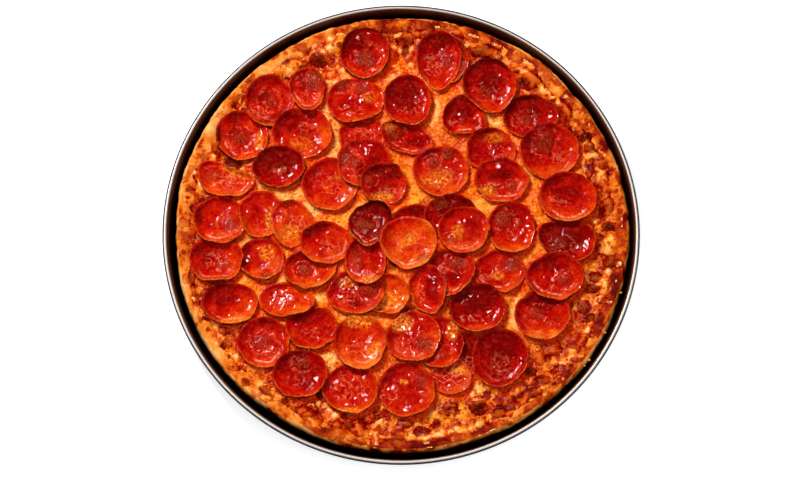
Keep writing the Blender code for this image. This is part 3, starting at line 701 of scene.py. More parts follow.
class CadSlice:
    """What a packed slice says: its centre, the radii of its outline and the heights of its rings."""

    def __init__(self, node):
        points = np.empty(len(node.data.vertices) * 3)
        node.data.vertices.foreach_get("co", points)
        points = np.unique(np.round(points.reshape(-1, 3) / MM, 2), axis=0)
        apart = np.hypot(*(points[:, None, :2] - points[None, :, :2]).transpose(2, 0, 1))
        twins = (apart < 0.03).sum(axis=1) > 1
        middle = points[twins, :2].mean(axis=0)
        pairs = points[twins]
        self.centre = pairs[np.argmin(np.hypot(*(pairs[:, :2] - middle).T)), :2]
        away = points[:, :2] - self.centre
        distance = np.hypot(away[:, 0], away[:, 1])
        angle = np.arctan2(away[:, 1], away[:, 0])
        core = points[distance < 0.05, 2]
        rim = twins & (distance > 0.05)
        self.first = angle[rim].min()
        step = 2.0 * math.pi / CAD_STEPS
        index = np.round((angle - self.first) / step).astype(int) % CAD_STEPS
        self.radii = np.array([distance[rim & (index == k)].mean() for k in range(CAD_STEPS)])
        share = distance / self.radii[index]
        self.high = np.empty((CAD_STEPS, 4))
        self.low = np.empty((CAD_STEPS, 3))
        self.high[:, 0] = core.max()
        self.low[:, 0] = core.min()
        for k in range(CAD_STEPS):
            mine = index == k
            for column, ring in enumerate(CAD_TOP_RINGS[:2]):
                self.high[k, column + 1] = points[mine & (np.abs(share - ring) < 0.009), 2].mean()
            self.low[k, 1] = points[mine & (np.abs(share - CAD_LOW_RINGS[0]) < 0.009), 2].mean()
            self.high[k, 3] = points[mine & rim, 2].max()
            self.low[k, 2] = points[mine & rim, 2].min()

    def radius(self, angle):
        return around(self.radii, angle, self.first)

    def surface(self, share, angle, rings, table):
        """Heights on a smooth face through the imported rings."""
        powers = range(1, len(rings) + 1)
        matrix = np.array([[ring**power for power in powers] for ring in rings])
        rows = around(table, angle, self.first)
        parts = np.linalg.solve(matrix, (rows[..., 1:] - rows[..., :1]).reshape(-1, len(rings)).T).T
        parts = parts.reshape(*share.shape, len(rings))
        return rows[..., 0] + sum(parts[..., n] * share**power for n, power in enumerate(powers))


def slice_fields(x, y, share, angle, finish, seed):
    """The colour fields of a slice at its points, and the relief of its patches."""
    fields = {name: np.zeros(x.shape) for name in ("tone", "gold", "brown", "char", "painted_sheen", "rim", "highlight_arc")}
    tone = fields["tone"]
    # Painted light: the near side is lighter by the finish's lean.
    tone += finish.tone + 0.5 * finish.lean * share * np.cos(angle - math.radians(PAINTED_LIGHT_SIDE))
    tone += 0.10 * fractal(x, y, 9.0, 3, seed) + 0.16 * rise(share, 0.3, 0.6) - 0.06
    relief = np.zeros(x.shape)
    for number, patch in enumerate(finish.patches):
        away = spot(x, y, patch.x, patch.y, patch.across, patch.up, patch.turn, 0.28, seed + 7 * number)
        amount = patch.strength * fall(away, 1.35, 0.7)
        if patch.kind in TONE_CHANGES:
            tone += TONE_CHANGES[patch.kind] * amount
        else:
            lift(fields, patch.kind, amount)
        dome = patch.strength * np.sqrt(np.clip(1.0 - (away / 1.2) ** 2, 0.0, 1.0))
        relief += BUMPS.get(patch.kind, 0.0) * dome
        if patch.kind == "brown":
            # A wrinkle of oil runs round a browned blister; its paleness is painted light and a painted sheen.
            off = (away - 1.75 - 0.3 * fractal(x, y, 5.0, 2, seed + 60)) / 0.22
            ring = np.exp(-(off**2)) * fall(share, 0.9, 0.1)
            relief += 0.5 * ring
            tone += 0.1 * ring
            lift(fields, "painted_sheen", 0.6 * ring)
    # The rim's pale band is partly its own crisp colour and partly painted light: it shows mostly on the near side,
    # and the outer ring is painted lighter there.
    near_side = 0.5 + 0.5 * np.cos(angle - math.radians(RIM_PAINTED_LIT_SIDE))
    far_side = 0.5 + 0.5 * np.cos(angle - math.radians(IN_SHADE))
    patchy = 0.5 + 0.5 * noise(angle * 4.0 + seed, share * 0.0, 1.0, seed + 90)
    fields["rim"] = rise(share, 0.955, 0.03) * (0.04 + 0.96 * near_side**2) * (0.2 + 0.9 * patchy)
    tone += rise(share, 0.8, 0.1) * (0.14 * near_side**2 - 0.04)
    # Painted shade: the far side of the cup's wall is darker.
    tone -= 0.22 * rise(share, 0.5, 0.3) * fall(share, 0.97, 0.05) * far_side**2
    # Half of the slices have a painted highlight, an arc like wet oil, on their near side.
    middle = 0.75 + 0.07 * noise(angle * 2.0 + seed, share * 0.0, 1.0, seed + 91)
    gleam = np.random.default_rng(seed).random(2)
    facing = rise(np.cos(angle + math.radians(40.0 + 80.0 * gleam[0])), 0.45, 0.3)
    fields["highlight_arc"] = 0.8 * rise(gleam[1], 0.5, 0.3) * facing * np.exp(-(((share - middle) / 0.03) ** 2))
    if finish.burnt:
        direction, spread, strength = finish.burnt
        amount = strength * fall(turned_from(angle, direction, spread), 1.4, 1.0) * rise(share, 0.84, 0.1)
        lift(fields, "char", amount)
        fields["rim"] *= 1.0 - amount
    return fields, relief


def calmed(z, share, angle):
    """Heights in rings, without the creases that would meet in the middle."""
    level = z.mean(axis=1, keepdims=True)
    across = 2.0 * (z * np.cos(angle)).mean(axis=1, keepdims=True)
    along = 2.0 * (z * np.sin(angle)).mean(axis=1, keepdims=True)
    rest = z - level - across * np.cos(angle) - along * np.sin(angle)
    ring = CALM_RING
    edge = share[ring, 0]
    slope = (level[ring + 1] - level[ring - 1]) / (share[ring + 1, 0] - share[ring - 1, 0])
    round_level = level[ring] + slope * (share[: ring + 1, :1] ** 2 - edge**2) / (2.0 * edge)
    level = np.vstack([round_level, level[ring + 1 :]])
    across = np.where(share < edge, across[ring] * share / edge, across)
    along = np.where(share < edge, along[ring] * share / edge, along)
    return level + across * np.cos(angle) + along * np.sin(angle) + rest * rise(share, 0.0, 0.6)


def slice_points(name, centre, radius, top, low, finish, seed, look):
    """A slice's mesh, from functions that give its outline, its top and its underside."""
    step = steps_round(SLICE_STEPS)
    share, angle = np.meshgrid(np.array((0.0, *SLICE_SHARES)), step, indexing="ij")
    level = np.ones(angle.shape)
    wobble = 0.9 * noise(angle * 2.2 + seed, level, 1.0, seed) * share
    wobble += 0.25 * noise(angle * 7.0 + seed, level, 1.0, seed + 1) * share
    surface = round_points(centre, share * radius(angle) + wobble, angle, calmed(top(share, angle), share, angle))
    x, y, z = np.moveaxis(surface, -1, 0)
    fields, relief = slice_fields(x, y, share, angle, finish, seed)
    crumple = 0.45 * fractal(x, y, 7.0, 2, seed + 30) * (0.5 + share)
    # Painted light and shade: the tone follows the crumples, lighter on their crests and darker in their hollows.
    fields["tone"] += 0.3 * crumple
    wavy = 0.75 * share**4 * noise(angle * 2.6 + 5.0, level, 1.0, seed + 31)
    lip = 0.95 * rise(share, 0.8, 0.17) - 0.35 * rise(share, 0.5, 0.2) * fall(share, 0.9, 0.1)
    calm = rise(share, 0.0, 0.1)
    z[:] = np.minimum(z + (crumple + wavy + lip) * calm + relief, HIGHEST)
    # Three rings go over the rim, down its thin edge and under it, and two lie on the underside.
    rim = radius(step) + wobble[-1]
    rings = [surface[1:]]
    for out, down in ((0.28, 0.4), (0.22, 0.85), (-0.3, RIM_THICKNESS)):
        rings.append(round_points(centre, rim + out, step, z[-1] - down)[None])
    share, angle = np.meshgrid(np.array((0.84, 0.5)), step, indexing="ij")
    rings.append(round_points(centre, share * rim, angle, low(share, angle)))
    rings = np.vstack(rings)
    core = low(np.zeros(1), np.zeros(1))[0]
    points = np.vstack([[*centre, z[0].mean()], rings.reshape(-1, 3), [*centre, core]])
    packed = {}
    for field, values in fields.items():
        rest = np.repeat(values[-1:], len(rings) - len(values) + 1, axis=0)
        rest[3:] = 0.0
        packed[field] = np.concatenate([[values[0].mean()], np.vstack([values[1:], rest]).ravel(), [0.0]])
    return piece_from(name, points, lathe_faces(len(rings), SLICE_STEPS), look, packed)


def make_slice(number, node, finish, look):
    cad = CadSlice(node)
    made = slice_points(
        "pepperoni_baked_%02d" % number,
        cad.centre,
        cad.radius,
        lambda share, angle: cad.surface(share, angle, CAD_TOP_RINGS, cad.high),
        lambda share, angle: cad.surface(share, angle, CAD_LOW_RINGS, cad.low),
        finish,
        100 + 11 * number,
        look,
    )
    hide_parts(node.name)


# Three more slices that mostly lie under others: name, centre, radius, cup and finish.
NEAR_FINISH = Finish(0.3, 0.1, Dark(50, -86, 8, 12, 0.6), PaintedSheen(46, -98, 7, 8, 0.8))
FAR_FINISH = Finish(0.22, 0.1, Brown(44, 136, 4, 14, 0.6), Dark(40, 148, 7, 7, 0.6))
MIDDLE_FINISH = Finish(0.34, 0.1, Dark(16, 18, 9, 6, 0.5))
HALF_HIDDEN = [
    ("pepperoni_under_near", 47, -92, 17.0, 1.4, NEAR_FINISH),
    ("pepperoni_under_far", 33, 136, 17.5, 2.4, FAR_FINISH),
    ("pepperoni_under_middle", 9, 6, 18.0, 2.4, MIDDLE_FINISH),
]


def make_half_hidden(entry, seed, ground, cover, look):
    """A round slice that lies on the cheese and stays under the slices above it."""
    name, at_x, at_y, size, cup, finish = entry

    def top(share, angle):
        x = at_x + share * size * np.cos(angle)
        y = at_y + share * size * np.sin(angle)
        bent = heights(ground, x, y, 60.0, -1.0, 15.5) + 1.9 + cup * share**3
        roof = heights(cover, x, y, 14.0, 1.0, 60.0)
        return np.minimum(bent, roof - 0.7)

    return slice_points(
        name,
        (at_x, at_y),
        lambda angle: np.full(np.shape(angle), size),
        top,
        lambda share, angle: top(share, angle) - 1.4,
        finish,
        seed,
        look,
    )


# The cheese.

# The direction in which the belt outside the slices is most golden, in degrees.
GOLDEN_SIDE = -38.0

# Browned blisters: place, half sizes, height, how brown and how dark.
BLISTERS = [
    (-88, 137, 5, 4, 1.4, 0.7, 0.2), (-73, 145, 6, 4, 1.6, 0.8, 0.4), (-61, 137, 7, 5, 1.6, 0.9, 0.7),
    (2, 163, 7, 2, 0.8, 0.6, 0.3), (-10, 157, 5, 3, 1.4, 0.7, 0.2), (3, 152, 6, 5, 1.6, 0.6, 0.3),
    (20, 158, 4, 4, 1.2, 0.8, 0.2), (60, 144, 10, 5, 1.8, 0.9, 0.3), (92, 119, 5, 4, 1.4, 0.8, 0.5),
    (98, 122, 7, 6, 2.0, 0.5, 0.0), (110, 122, 4, 5, 1.4, 0.8, 0.5), (128, 104, 5, 4, 1.4, 0.8, 0.3),
    (140, 93, 6, 4, 1.6, 0.8, 0.3), (138, 77, 5, 4, 1.6, 1.0, 1.0), (142, 68, 5, 4, 1.4, 0.8, 0.4),
    (152, 56, 9, 4, 1.4, 0.5, 0.1), (150, 38, 6, 6, 1.2, 0.4, 0.0), (153, 22, 6, 5, 1.3, 0.6, 0.2),
    (155, 7, 4.5, 3.5, 1.2, 1.0, 1.0), (156, -20, 5, 5, 1.4, 0.8, 0.3), (144, -31, 5, 4, 1.6, 0.8, 0.4),
    (142, -40, 6, 3, 1.2, 0.8, 0.6), (136, -55, 5, 4, 1.5, 0.9, 0.4), (140, -64, 6, 3, 1.2, 0.7, 0.5),
    (112, -86, 8, 6, 1.2, 0.5, 0.0), (95, -104, 5, 4, 1.2, 0.9, 0.8), (105, -111, 5, 4, 1.4, 0.8, 0.3),
    (96, -121, 6, 4, 1.5, 0.7, 0.3), (80, -128, 5, 5, 1.7, 0.5, 0.1), (57, -132, 6, 5, 1.8, 1.0, 0.9),
    (72, -137, 5, 4, 1.4, 0.7, 0.2), (36, -134, 8, 5, 1.6, 0.5, 0.2), (15, -151, 6, 4, 1.4, 0.9, 0.5),
    (3, -144, 5, 4, 1.4, 0.8, 0.3), (-12, -160, 6, 3, 1.0, 0.7, 0.2), (-3, -157, 5, 3, 1.2, 0.8, 0.4),
    (-35, -146, 8, 6, 2.0, 0.4, 0.0), (-61, -122, 4, 5, 0.0, 0.6, 0.9), (-83, -135, 5, 4, 1.4, 0.8, 0.4),
    (-103, -121, 6, 5, 1.5, 0.7, 0.3), (-131, -73, 5, 4, 1.2, 0.6, 0.3), (-148, -67, 5, 4, 1.2, 0.7, 0.3),
    (-158, -33, 4, 5, 1.2, 0.9, 0.5), (-157, 17, 5, 5, 1.2, 0.7, 0.3), (-158, 35, 4, 4, 1.2, 0.8, 0.3),
    (-155, 62, 5, 5, 1.2, 0.7, 0.3), (-140, 70, 6, 5, 1.4, 0.5, 0.1), (-122, 107, 5, 4, 1.2, 0.6, 0.2),
]

# Pale and golden cheese between the slices: place, half sizes, pale and gold.
BRIGHT = [
    (-58, 98, 6, 12, 0.9, 0.2), (-50, 74, 5, 14, 0.8, 0.4), (-104, 77, 5, 6, 0.9, 0.2),
    (-84, 34, 9, 6, 0.8, 0.3), (-68, 20, 8, 6, 0.9, 0.3), (-63, -46, 6, 5, 0.9, 0.3),
    (-32, -64, 15, 6, 0.5, 0.9), (68, 94, 7, 8, 0.8, 0.4), (93, 50, 6, 12, 0.7, 0.5), (10, 33, 6, 8, 0.3, 1.0),
    (60, 24, 8, 6, 0.5, 0.8), (24, 100, 4, 12, 0.8, 0.4), (87, -60, 5, 12, 0.8, 0.4),
    (-53, -97, 5, 8, 1.0, 0.1), (-65, -132, 9, 5, 1.0, 0.0), (80, -128, 7, 5, 0.8, 0.3),
    (57, -119, 6, 5, 0.9, 0.2), (60, -105, 4, 6, 0.6, 0.5), (-46, 12, 8, 6, 0.4, 0.8),
    (-36, 22, 7, 6, 0.3, 0.9), (-104, 44, 5, 7, 0.7, 0.3), (-118, -2, 7, 4, 0.7, 0.4),
    (-88, -34, 6, 5, 0.8, 0.3), (-112, 122, 10, 6, 0.7, 0.2), (-130, 92, 8, 8, 0.7, 0.2),
    (30, -135, 14, 5, 0.5, 0.4), (-20, -146, 10, 5, 0.5, 0.4), (120, -100, 8, 8, 0.4, 0.4),
    (134, 52, 6, 10, 0.4, 0.5),
]

# Painted shade in dark gaps, and reddish stains: place, half sizes, dark and red.
SHADED = [
    (-125, 57, 8, 5, 0.9, 0.3), (-7, -22, 4, 5, 0.8, 0.4), (5, -57, 6, 4, 0.8, 0.4),
    (-61, -118, 4, 6, 0.9, 0.3), (57, -90, 5, 12, 0.7, 0.7), (3, 145, 3, 6, 0.8, 0.2),
    (38, 76, 14, 10, 0.1, 0.9), (16, 74, 8, 8, 0.2, 0.8), (150, 38, 8, 12, 0.0, 0.6),
    (112, -88, 10, 8, 0.0, 0.6), (148, -12, 6, 20, 0.1, 0.4), (-70, 0, 8, 8, 0.1, 0.5),
    (20, 22, 6, 10, 0.3, 0.8),
]


def grid_faces(inside):
    """Faces of the cells whose four corners are all inside, and the number of each corner."""
    number = np.full(inside.shape, -1)
    number[inside] = np.arange(inside.sum())
    a = number[:-1, :-1]
    b = number[:-1, 1:]
    c = number[1:, 1:]
    d = number[1:, :-1]
    whole = (a >= 0) & (b >= 0) & (c >= 0) & (d >= 0)
    return np.stack([a[whole], b[whole], c[whole], d[whole]], axis=1).tolist()


def mark_cheese(x, y, z, fields):
    """Adds the blisters, the bright cheese and the dark gaps, which are painted shade, to the heights and the fields.
    """
    for number, (*place, height, brown, deep) in enumerate(BLISTERS):
        away = spot(x, y, *place, 0.0, 0.3, 40 + number)
        z += height * fall(away, 1.25, 0.9)
        lift(fields, "brown", math.sqrt(brown) * fall(away, 1.35, 0.4))
        lift(fields, "deep", math.sqrt(deep) * fall(away, 1.0, 0.4))
        lift(fields, "pale", 0.5 * fall(away, 1.9, 0.5) * rise(away, 1.0, 0.3))
    for number, (*place, pale, gold) in enumerate(BRIGHT):
        amount = fall(spot(x, y, *place, 0.0, 0.3, 140 + number), 1.4, 0.8)
        lift(fields, "pale", pale * amount)
        lift(fields, "gold", gold * amount)
    for number, (*place, deep, stain) in enumerate(SHADED):
        amount = fall(spot(x, y, *place, 0.0, 0.3, 240 + number), 1.3, 0.7)
        lift(fields, "deep", deep * amount)
        lift(fields, "stain", stain * amount)
        z -= 0.9 * deep * amount


def shade_cheese(x, y, fields, covered, near):
    """Adds the fat round the slices, and the shade that they cast towards the lower right."""
    hugged = rise(blurred(covered, 1), 0.06, 0.3) * (1.0 - covered)
    grease = rise(near, 0.0, 0.4) * (0.95 + 0.6 * fractal(x, y, 12.0, 3, 17))
    bright = np.maximum(fields["pale"], fields["gold"])
    lift(fields, "stain", grease * (1.0 - 0.9 * bright))
    fields["stain"] = np.clip(fields["stain"], 0.0, 1.0)
    lee = np.zeros(x.shape)
    for step in range(1, SHADE_REACH + 1):
        shifted = np.roll(np.roll(covered, step, 1), -step, 0)
        lee = np.maximum(lee, shifted * (1.0 - (step - 1) / SHADE_REACH))
    lee = blurred(lee, 1) * (1.0 - covered)
    fields["contact"] = np.maximum(0.8 * hugged, 0.95 * rise(lee, 0.0, 0.5))


def climb_slices(x, y, z, covered, roof):
    """Lets the cheese climb a little round the slices, and keeps it under them."""
    under = covered > 0.5
    high = np.where(under, roof - 0.4, 0.0)
    for _ in range(7):
        for axis in (0, 1):
            high = np.maximum(high, np.maximum(np.roll(high, 1, axis), np.roll(high, -1, axis)) - 0.5)
    high += 0.9 * fractal(x, y, 7.0, 3, 19) - 0.6
    z = np.where(under, z, np.maximum(z, np.minimum(high, z + 3.0)))
    soft = blurred(np.where(under, np.minimum(z + 2.5, roof), z), 2)
    return np.where(under, np.minimum(z, roof - 0.25), 0.5 * z + 0.5 * soft)


def make_cheese(nodes, half_hidden, look):
    line = np.arange(-CHEESE_HALF, CHEESE_HALF + CHEESE_CELL, CHEESE_CELL)
    x, y = np.meshgrid(line, line)
    radius = np.hypot(x - FOOD_SHIFT, y)
    angle = np.arctan2(y, x - FOOD_SHIFT)
    melt = heights(tree_of([nodes["cheese"]]), x, y, 60.0, -1.0, -1.0)
    dough = heights(tree_of([nodes["crust"]]), x, y, 60.0, -1.0, 20.0)
    slices = tree_of([node for name, node in nodes.items() if name.startswith("pepperoni")] + half_hidden)
    roof = heights(slices, x, y, 10.0, 1.0, 90.0)
    covered = (roof < 80.0).astype(float)
    near = blurred(covered, 5)
    belt = rise(radius, 100.0, 40.0) * (1.0 - near)
    outer = rise(radius, 120.0, 20.0)
    edge = np.minimum(162.0 + 6.0 * fractal(angle * 13.0 + 30.0, np.zeros(x.shape), 1.0, 4, 33), 165.0)

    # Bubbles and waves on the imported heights, and a skirt that runs up on the dough.
    z = blurred(np.where(melt > 0.0, melt, dough), 3)
    z = np.maximum(z, blurred(dough, 3) + 0.9 * rise(radius, 150.0, 5.0) - 3.0 * (radius < 150.0))
    warp_x = x + 2.0 * fractal(x, y, 9.0, 2, 5)
    warp_y = y + 2.0 * fractal(x, y, 9.0, 2, 6)
    large, large_share = bubbles(warp_x, warp_y, 11.0, 11)
    small, small_share = bubbles(warp_x, warp_y, 5.0, 12)
    z += 1.0 * fractal(x, y, 12.0, 4, 3) * (0.4 + 0.6 * belt)
    domes = 2.0 * large * (large_share > 0.35) + 0.9 * small * (small_share > 0.3)
    z += domes * (0.35 + 0.65 * belt) - 0.7 * belt

    fields = {name: np.zeros(x.shape) for name in ("pale", "gold", "brown", "stain", "deep", "contact")}
    mark_cheese(x, y, z, fields)
    shade_cheese(x, y, fields, covered, near)
    # The belt outside the slices is browned in spots, and most golden at the lower right.
    golden = rise(np.cos(angle - math.radians(GOLDEN_SIDE)), 0.35, 0.4)
    golden = np.maximum(golden, 0.7 * rise(radius, 144.0, 8.0))
    freckles = rise(fractal(x, y, 9.0, 4, 23), 0.18, 0.3) * rise(radius, 118.0, 20.0)
    toasted = rise(large_share, 0.7, 0.04) * rise(large, 0.2, 0.25) * outer
    specked = rise(small_share, 0.78, 0.04) * rise(small, 0.2, 0.2) * outer
    blotched = rise(fractal(x, y, 13.0, 4, 53) - 0.16 * golden, 0.12, 0.14) * outer
    for share, amount in ((0.3, freckles), (0.85, toasted), (0.9, specked), (0.8, blotched)):
        lift(fields, "brown", share * amount)
    lift(fields, "deep", 0.75 * rise(small_share, 0.9, 0.03) * rise(small, 0.4, 0.2) * outer)
    lift(fields, "stain", 0.7 * rise(fractal(x, y, 16.0, 4, 29) - 0.2 * golden, -0.05, 0.4) * belt)
    lift(fields, "gold", 0.7 * golden * outer * rise(fractal(x, y, 10.0, 3, 59), -0.3, 0.4))

    # Crests are pale and hollows are stained: partly grease that pools in the hollows, partly painted light on the
    # crests and painted shade in the hollows.
    crest_shading = np.clip(0.5 + 0.5 * (z - blurred(z, 10)), 0.0, 1.0)
    fields["crest_shading"] = np.clip(crest_shading + 0.06 * (1.0 - outer), 0.0, 1.0)
    lift(fields, "pale", 0.9 * rise(crest_shading, 0.54, 0.2) * outer)
    lift(fields, "stain", (0.8 - 0.4 * golden) * fall(crest_shading, 0.46, 0.16) * outer)
    fields["pale"] *= 1.0 - rise(fields["brown"], 0.3, 0.4)
    rim = rise(radius - edge, -4.0, 2.0) * smooth_step(0.5 + 1.5 * fractal(x, y, 8.0, 3, 37))
    lift(fields, "brown", (0.75 - 0.4 * golden) * rim)

    z = climb_slices(x, y, z, covered, roof)
    sink = rise(radius - edge, -4.0, 4.5)
    z = np.where(sink > 0.0, z * (1.0 - sink) + (np.minimum(z, blurred(dough, 2)) - 0.7) * sink, z)
    inside = radius < CHEESE_EDGE + 6.5
    points = np.stack([x[inside], y[inside], z[inside]], axis=1)
    packed = {name: values[inside] for name, values in fields.items()}
    made = piece_from("cheese_baked", points, grid_faces(inside), look, packed)
    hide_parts("cheese")


# The dough.

# The crust's section, from the inner slope over the rim and down the outside.
SECTION = [(60, 13), (120, 13), (148, 13), (150, 13), (156, 16.8), (163.5, 20.2), (166.4, 20.8)]
SECTION += [(168.2, 18.6), (168.7, 14), (167.3, 8), (165.6, 3.2), (163.8, 1.3), (120, 1.3)]
FINE_FROM = 3
FINE_TO = 11
# How pale the dough's rim is in eight directions, from the right side round by the far side.
CRUST_TINT = np.array([-0.11, -0.02, -0.12, 0.13, 0.1, 0.14, -0.1, 0.04])

# Browned places on the dough's rim: direction in degrees, half width and strength.
BROWNED = [
    (178, 2, 0.5), (192, 3, 0.5), (157, 2, 0.6), (118, 4, 0.4), (88, 16, 0.5), (50, 18, 0.6), (20, 8, 0.3),
    (0, 8, 0.3), (-14, 4, 0.4), (-27, 3, 0.4), (-66, 8, 0.4), (-88, 12, 0.9), (-106, 5, 0.5), (-128, 3, 0.4),
    (-150, 3, 0.4),
]


def make_crust(node, look):
    tree = tree_of([node])
    rows = list(SECTION[:FINE_FROM])
    for start, end in zip(SECTION[FINE_FROM:FINE_TO], SECTION[FINE_FROM + 1 :]):
        count = max(2, int(math.dist(start, end) / 0.9))
        rows += [tuple(a + (b - a) * k / count for a, b in zip(start, end)) for k in range(count)]
    rows = np.array(rows + SECTION[FINE_TO:], dtype=float)
    turn = steps_round(CRUST_STEPS)
    points = np.empty((len(rows), CRUST_STEPS, 3))
    for ring, (away, height) in enumerate(rows):
        for k, angle in enumerate(turn):
            asked = Vector((FOOD_SHIFT + away * math.cos(angle), away * math.sin(angle), height))
            points[ring, k] = tree.find_nearest(asked)[0]
    fine = (rows[:, 0] > 149.0) & (rows[:, 1] > 2.0)
    for _ in range(5):
        softer = points.copy()
        softer[1:-1] = 0.5 * points[1:-1] + 0.25 * (points[:-2] + points[2:])
        softer = 0.5 * softer + 0.25 * (np.roll(softer, 1, 1) + np.roll(softer, -1, 1))
        points = np.where(fine[:, None, None], softer, points)

    # Lumps, and the lean outwards. Patterns run along the rim and across its section.
    radius = rows[:, :1]
    angle = turn[None, :] * np.ones((len(rows), 1))
    length = 165.0 * angle
    section = np.cumsum(np.hypot(*np.diff(rows, axis=0, prepend=rows[:1]).T))[:, None] * np.ones_like(angle)
    seam = fall(np.abs(angle - math.pi), math.pi, 0.06)
    lump = (1.1 * fractal(length, section, 13.0, 4, 61) + 0.7 * (ridges(length, section, 7.0, 71) - 0.5)) * seam
    grow = rise(points[..., 2], 3.0, 14.0) * fine[:, None]
    out = np.clip((points[..., 2] - 21.0) / 3.0, -1.0, 0.0) * (radius > 165.0)
    points[..., 2] += lump * grow * (1.0 + 0.7 * out)
    wider = np.where(np.cos(angle) > 0.0, *CRUST_WIDER)
    lean = wider * np.cos(angle) ** 2 + CRUST_FURTHER * np.sin(angle)
    lean = lean * rise(radius, 152.0, 12.0) * rise(points[..., 2], 6.0, 8.0) - 0.7 * lump * grow * out
    points[..., 0] += lean * np.cos(angle)
    points[..., 1] += lean * np.sin(angle)

    brown = np.zeros(angle.shape)
    for direction, spread, strength in BROWNED:
        brown = np.maximum(brown, strength * fall(turned_from(angle, direction, spread), 1.5, 1.0))
    brown = np.clip(brown + 0.5 * fractal(length, section, 10.0, 3, 81) * seam, 0.0, 1.0)
    for size, seed, fewest, strength in ((9.0, 83, 0.7, 0.9), (4.0, 84, 0.82, 0.8)):
        spots, share = bubbles(length, section, size, seed)
        brown = np.maximum(brown, strength * rise(spots, 0.3, 0.3) * rise(share, fewest, 0.1) * seam)
    brown = np.maximum(brown, 0.85 * rise(fractal(length, section, 12.0, 4, 87), 0.2, 0.14) * seam)
    edge = rise(radius, 166.4, 1.0) * smooth_step(0.6 + 1.5 * fractal(length, section, 9.0, 3, 86) * seam)
    side = around(CRUST_TINT, angle, 0.0)
    # Each field has a value for the pole above, the rings and the pole below.
    fields = {
        "brown": (0.0, np.clip(brown * (1.0 - 0.8 * edge) - 0.5 * side, 0.0, 1.0), 0.0),
        # Painted shade down the outer side, in the gap by the pan's wall.
        "low": (0.0, fall(points[..., 2], 18.6, 5.0) * (radius > 165.0), 1.0),
        # Painted light and shade: lumps lighter, the hollows between them darker.
        "crest_shading": (0.5, np.clip(0.5 + 0.6 * lump, 0.0, 1.0), 0.5),
        "tint": (0.0, side + 0.36 * edge, 0.0),
    }
    fields = {name: np.concatenate([[top], rings.ravel(), [low]]) for name, (top, rings, low) in fields.items()}
    flat = np.vstack([[FOOD_SHIFT, 0.0, 13.0], points.reshape(-1, 3), [FOOD_SHIFT, 0.0, 1.3]])
    made = piece_from("crust_baked", flat, lathe_faces(len(rows), CRUST_STEPS), look, fields)
    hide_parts("crust")


# Crumbs that cling to the outer edge of the dough: place, height and size.
CRUMBS = [(139.9, -95.9, 18.0, 1.3), (152.0, -74.6, 18.2, 1.1), (163.6, -43.9, 18.4, 0.9), (136.6, -100.2, 17.6, 0.8)]
CRUMB_STEPS = 16
CRUMB_RINGS = 9
CRUMB_FIELDS = {"brown": 0.2, "low": 0.0, "crest_shading": 0.7, "tint": 0.12}


def make_crumb(name, at_x, at_y, at_z, size, seed, look):
    """A lumpy ball, flatter than it is wide."""
    slopes = np.radians(np.linspace(-90.0, 90.0, CRUMB_RINGS + 2)[1:-1])
    up, angle = np.meshgrid(slopes[::-1], steps_round(CRUMB_STEPS), indexing="ij")
    x = np.cos(up) * np.cos(angle)
    y = np.cos(up) * np.sin(angle)
    z = np.sin(up)
    lumpy = 1.0 + 0.5 * noise(x + 0.7 * z, y - 0.5 * z, 0.7, seed) + 0.2 * noise(x - z, y + z, 0.3, seed + 1)
    lumpy = size * lumpy
    points = np.stack([at_x + lumpy * x, at_y + 0.7 * lumpy * y, at_z + 0.6 * lumpy * z], axis=-1).reshape(-1, 3)
    points = np.vstack([[at_x, at_y, at_z + 0.6 * size], points, [at_x, at_y, at_z - 0.6 * size]])
    faces = [face[::-1] for face in lathe_faces(CRUMB_RINGS, CRUMB_STEPS)]
    fields = {field: np.full(len(points), value) for field, value in CRUMB_FIELDS.items()}
    piece_from(name, points, faces, look, fields)


# The stage.

FLOOR_HALF = 2.5
FLOOR_DROP = 0.0002
FLOOR_GLOW = 0.66
WORLD_GLOW = 0.06
WHITE = (1.0, 1.0, 1.0, 1.0)


def make_floor():
    look = Look("White_paper")
    grain = look.noise(3.0, 3.0)
    look.base = look.ramp(grain, (0.3, 243.445, 243.445, 243.445), (0.7, 246.987, 246.987, 246.987))
    look.finish(0.7, look.bump(grain, 0.02))
    look.shader.inputs["Emission Color"].default_value = WHITE
    look.shader.inputs["Emission Strength"].default_value = FLOOR_GLOW
    mesh = bpy.data.meshes.new("floor")
    corners = [(x * FLOOR_HALF, y * FLOOR_HALF, 0) for x, y in ((-1, -1), (1, -1), (1, 1), (-1, 1))]
    mesh.from_pydata(corners, [], [(0, 1, 2, 3)])
    mesh.materials.append(look.material)
    floor = linked("floor", mesh)
    floor.location.z = -FLOOR_DROP


def make_light(name, azimuth, elevation, distance, size, power, tint=(1.0, 1.0, 1.0)):
    """A square soft light, turned to the pan. Azimuth 0 is to the right, 90 to the far side."""
    data = bpy.data.lights.new(name, "AREA")
    data.size = size
    data.energy = power
    data.color = tint
    light = linked(name, data)
    a = math.radians(azimuth)
    e = math.radians(elevation)
    light.location = Vector((math.cos(a) * math.cos(e), math.sin(a) * math.cos(e), math.sin(e))) * distance
    light.rotation_euler = (-light.location).to_track_quat("-Z", "Y").to_euler()
    light.visible_glossy = name == "key"


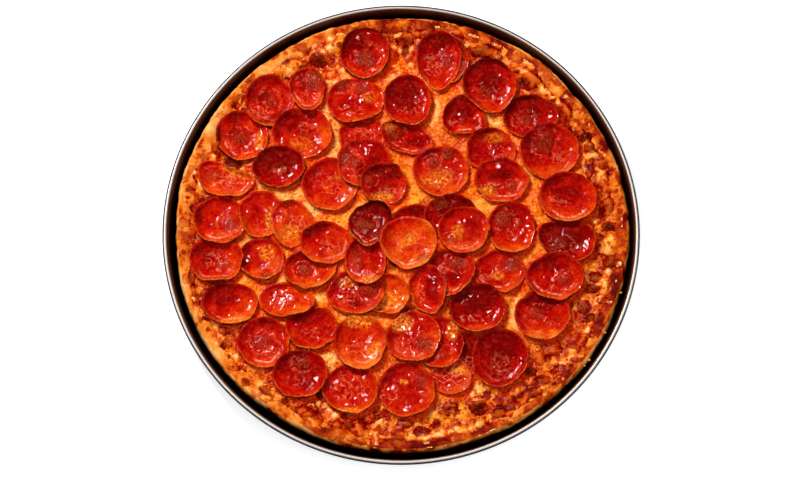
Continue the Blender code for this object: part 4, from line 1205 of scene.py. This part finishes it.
def make_camera():
    data = bpy.data.cameras.new("camera")
    data.lens = LENS
    data.sensor_width = SENSOR
    data.clip_end = 50.0
    camera = linked("camera", data)
    pixel = RIM_ACROSS / RIM_PIXELS * MM
    distance = PHOTO_WIDTH * pixel * LENS / SENSOR
    tilt = math.radians(CAMERA_TILT)
    up = Vector((0.0, math.cos(tilt), math.sin(tilt)))
    back = Vector((0.0, -math.sin(tilt), math.cos(tilt)))
    right = Vector((1.0, 0.0, 0.0))
    rim = Vector((0.0, 0.0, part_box("pan")[1].z))
    target = rim - right * (RIM_CENTRE_PIXEL[0] - PHOTO_WIDTH / 2) * pixel
    target = target + up * (RIM_CENTRE_PIXEL[1] - PHOTO_HEIGHT / 2) * pixel
    camera.location = target + back * distance
    camera.rotation_euler = (tilt, 0.0, 0.0)
    bpy.context.scene.camera = camera


for old in list(bpy.data.objects):
    bpy.data.objects.remove(old)
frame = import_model()
nodes = frame["nodes"]

make_pan(pan_look())
bread = crust_look()
make_crust(nodes["crust"], bread)
for number, crumb in enumerate(CRUMBS, start=1):
    make_crumb("crumb_%d" % number, *crumb, 70 + number, bread)
meat = pepperoni_look()
slice_nodes = [node for name, node in sorted(nodes.items()) if name.startswith("pepperoni")]
for number, (node, finish) in enumerate(zip(slice_nodes, FINISHES), start=1):
    make_slice(number, node, finish, meat)
ground = tree_of([nodes["cheese"]])
cover = tree_of(slice_nodes)
hidden = [make_half_hidden(entry, 900 + 13 * k, ground, cover, meat) for k, entry in enumerate(HALF_HIDDEN)]
make_cheese(nodes, hidden, cheese_look())

make_floor()
make_light("key", azimuth=128, elevation=54, distance=1.7, size=0.3, power=31.0, tint=(1.0, 0.97, 0.94))
make_light("fill", azimuth=-60, elevation=65, distance=2.0, size=2.0, power=22.0)
world = bpy.data.worlds.new("studio")
world.use_nodes = True
world.node_tree.nodes["Background"].inputs["Color"].default_value = WHITE
world.node_tree.nodes["Background"].inputs["Strength"].default_value = WORLD_GLOW
bpy.context.scene.world = world
bpy.context.scene.view_settings.view_transform = "Standard"
make_camera()
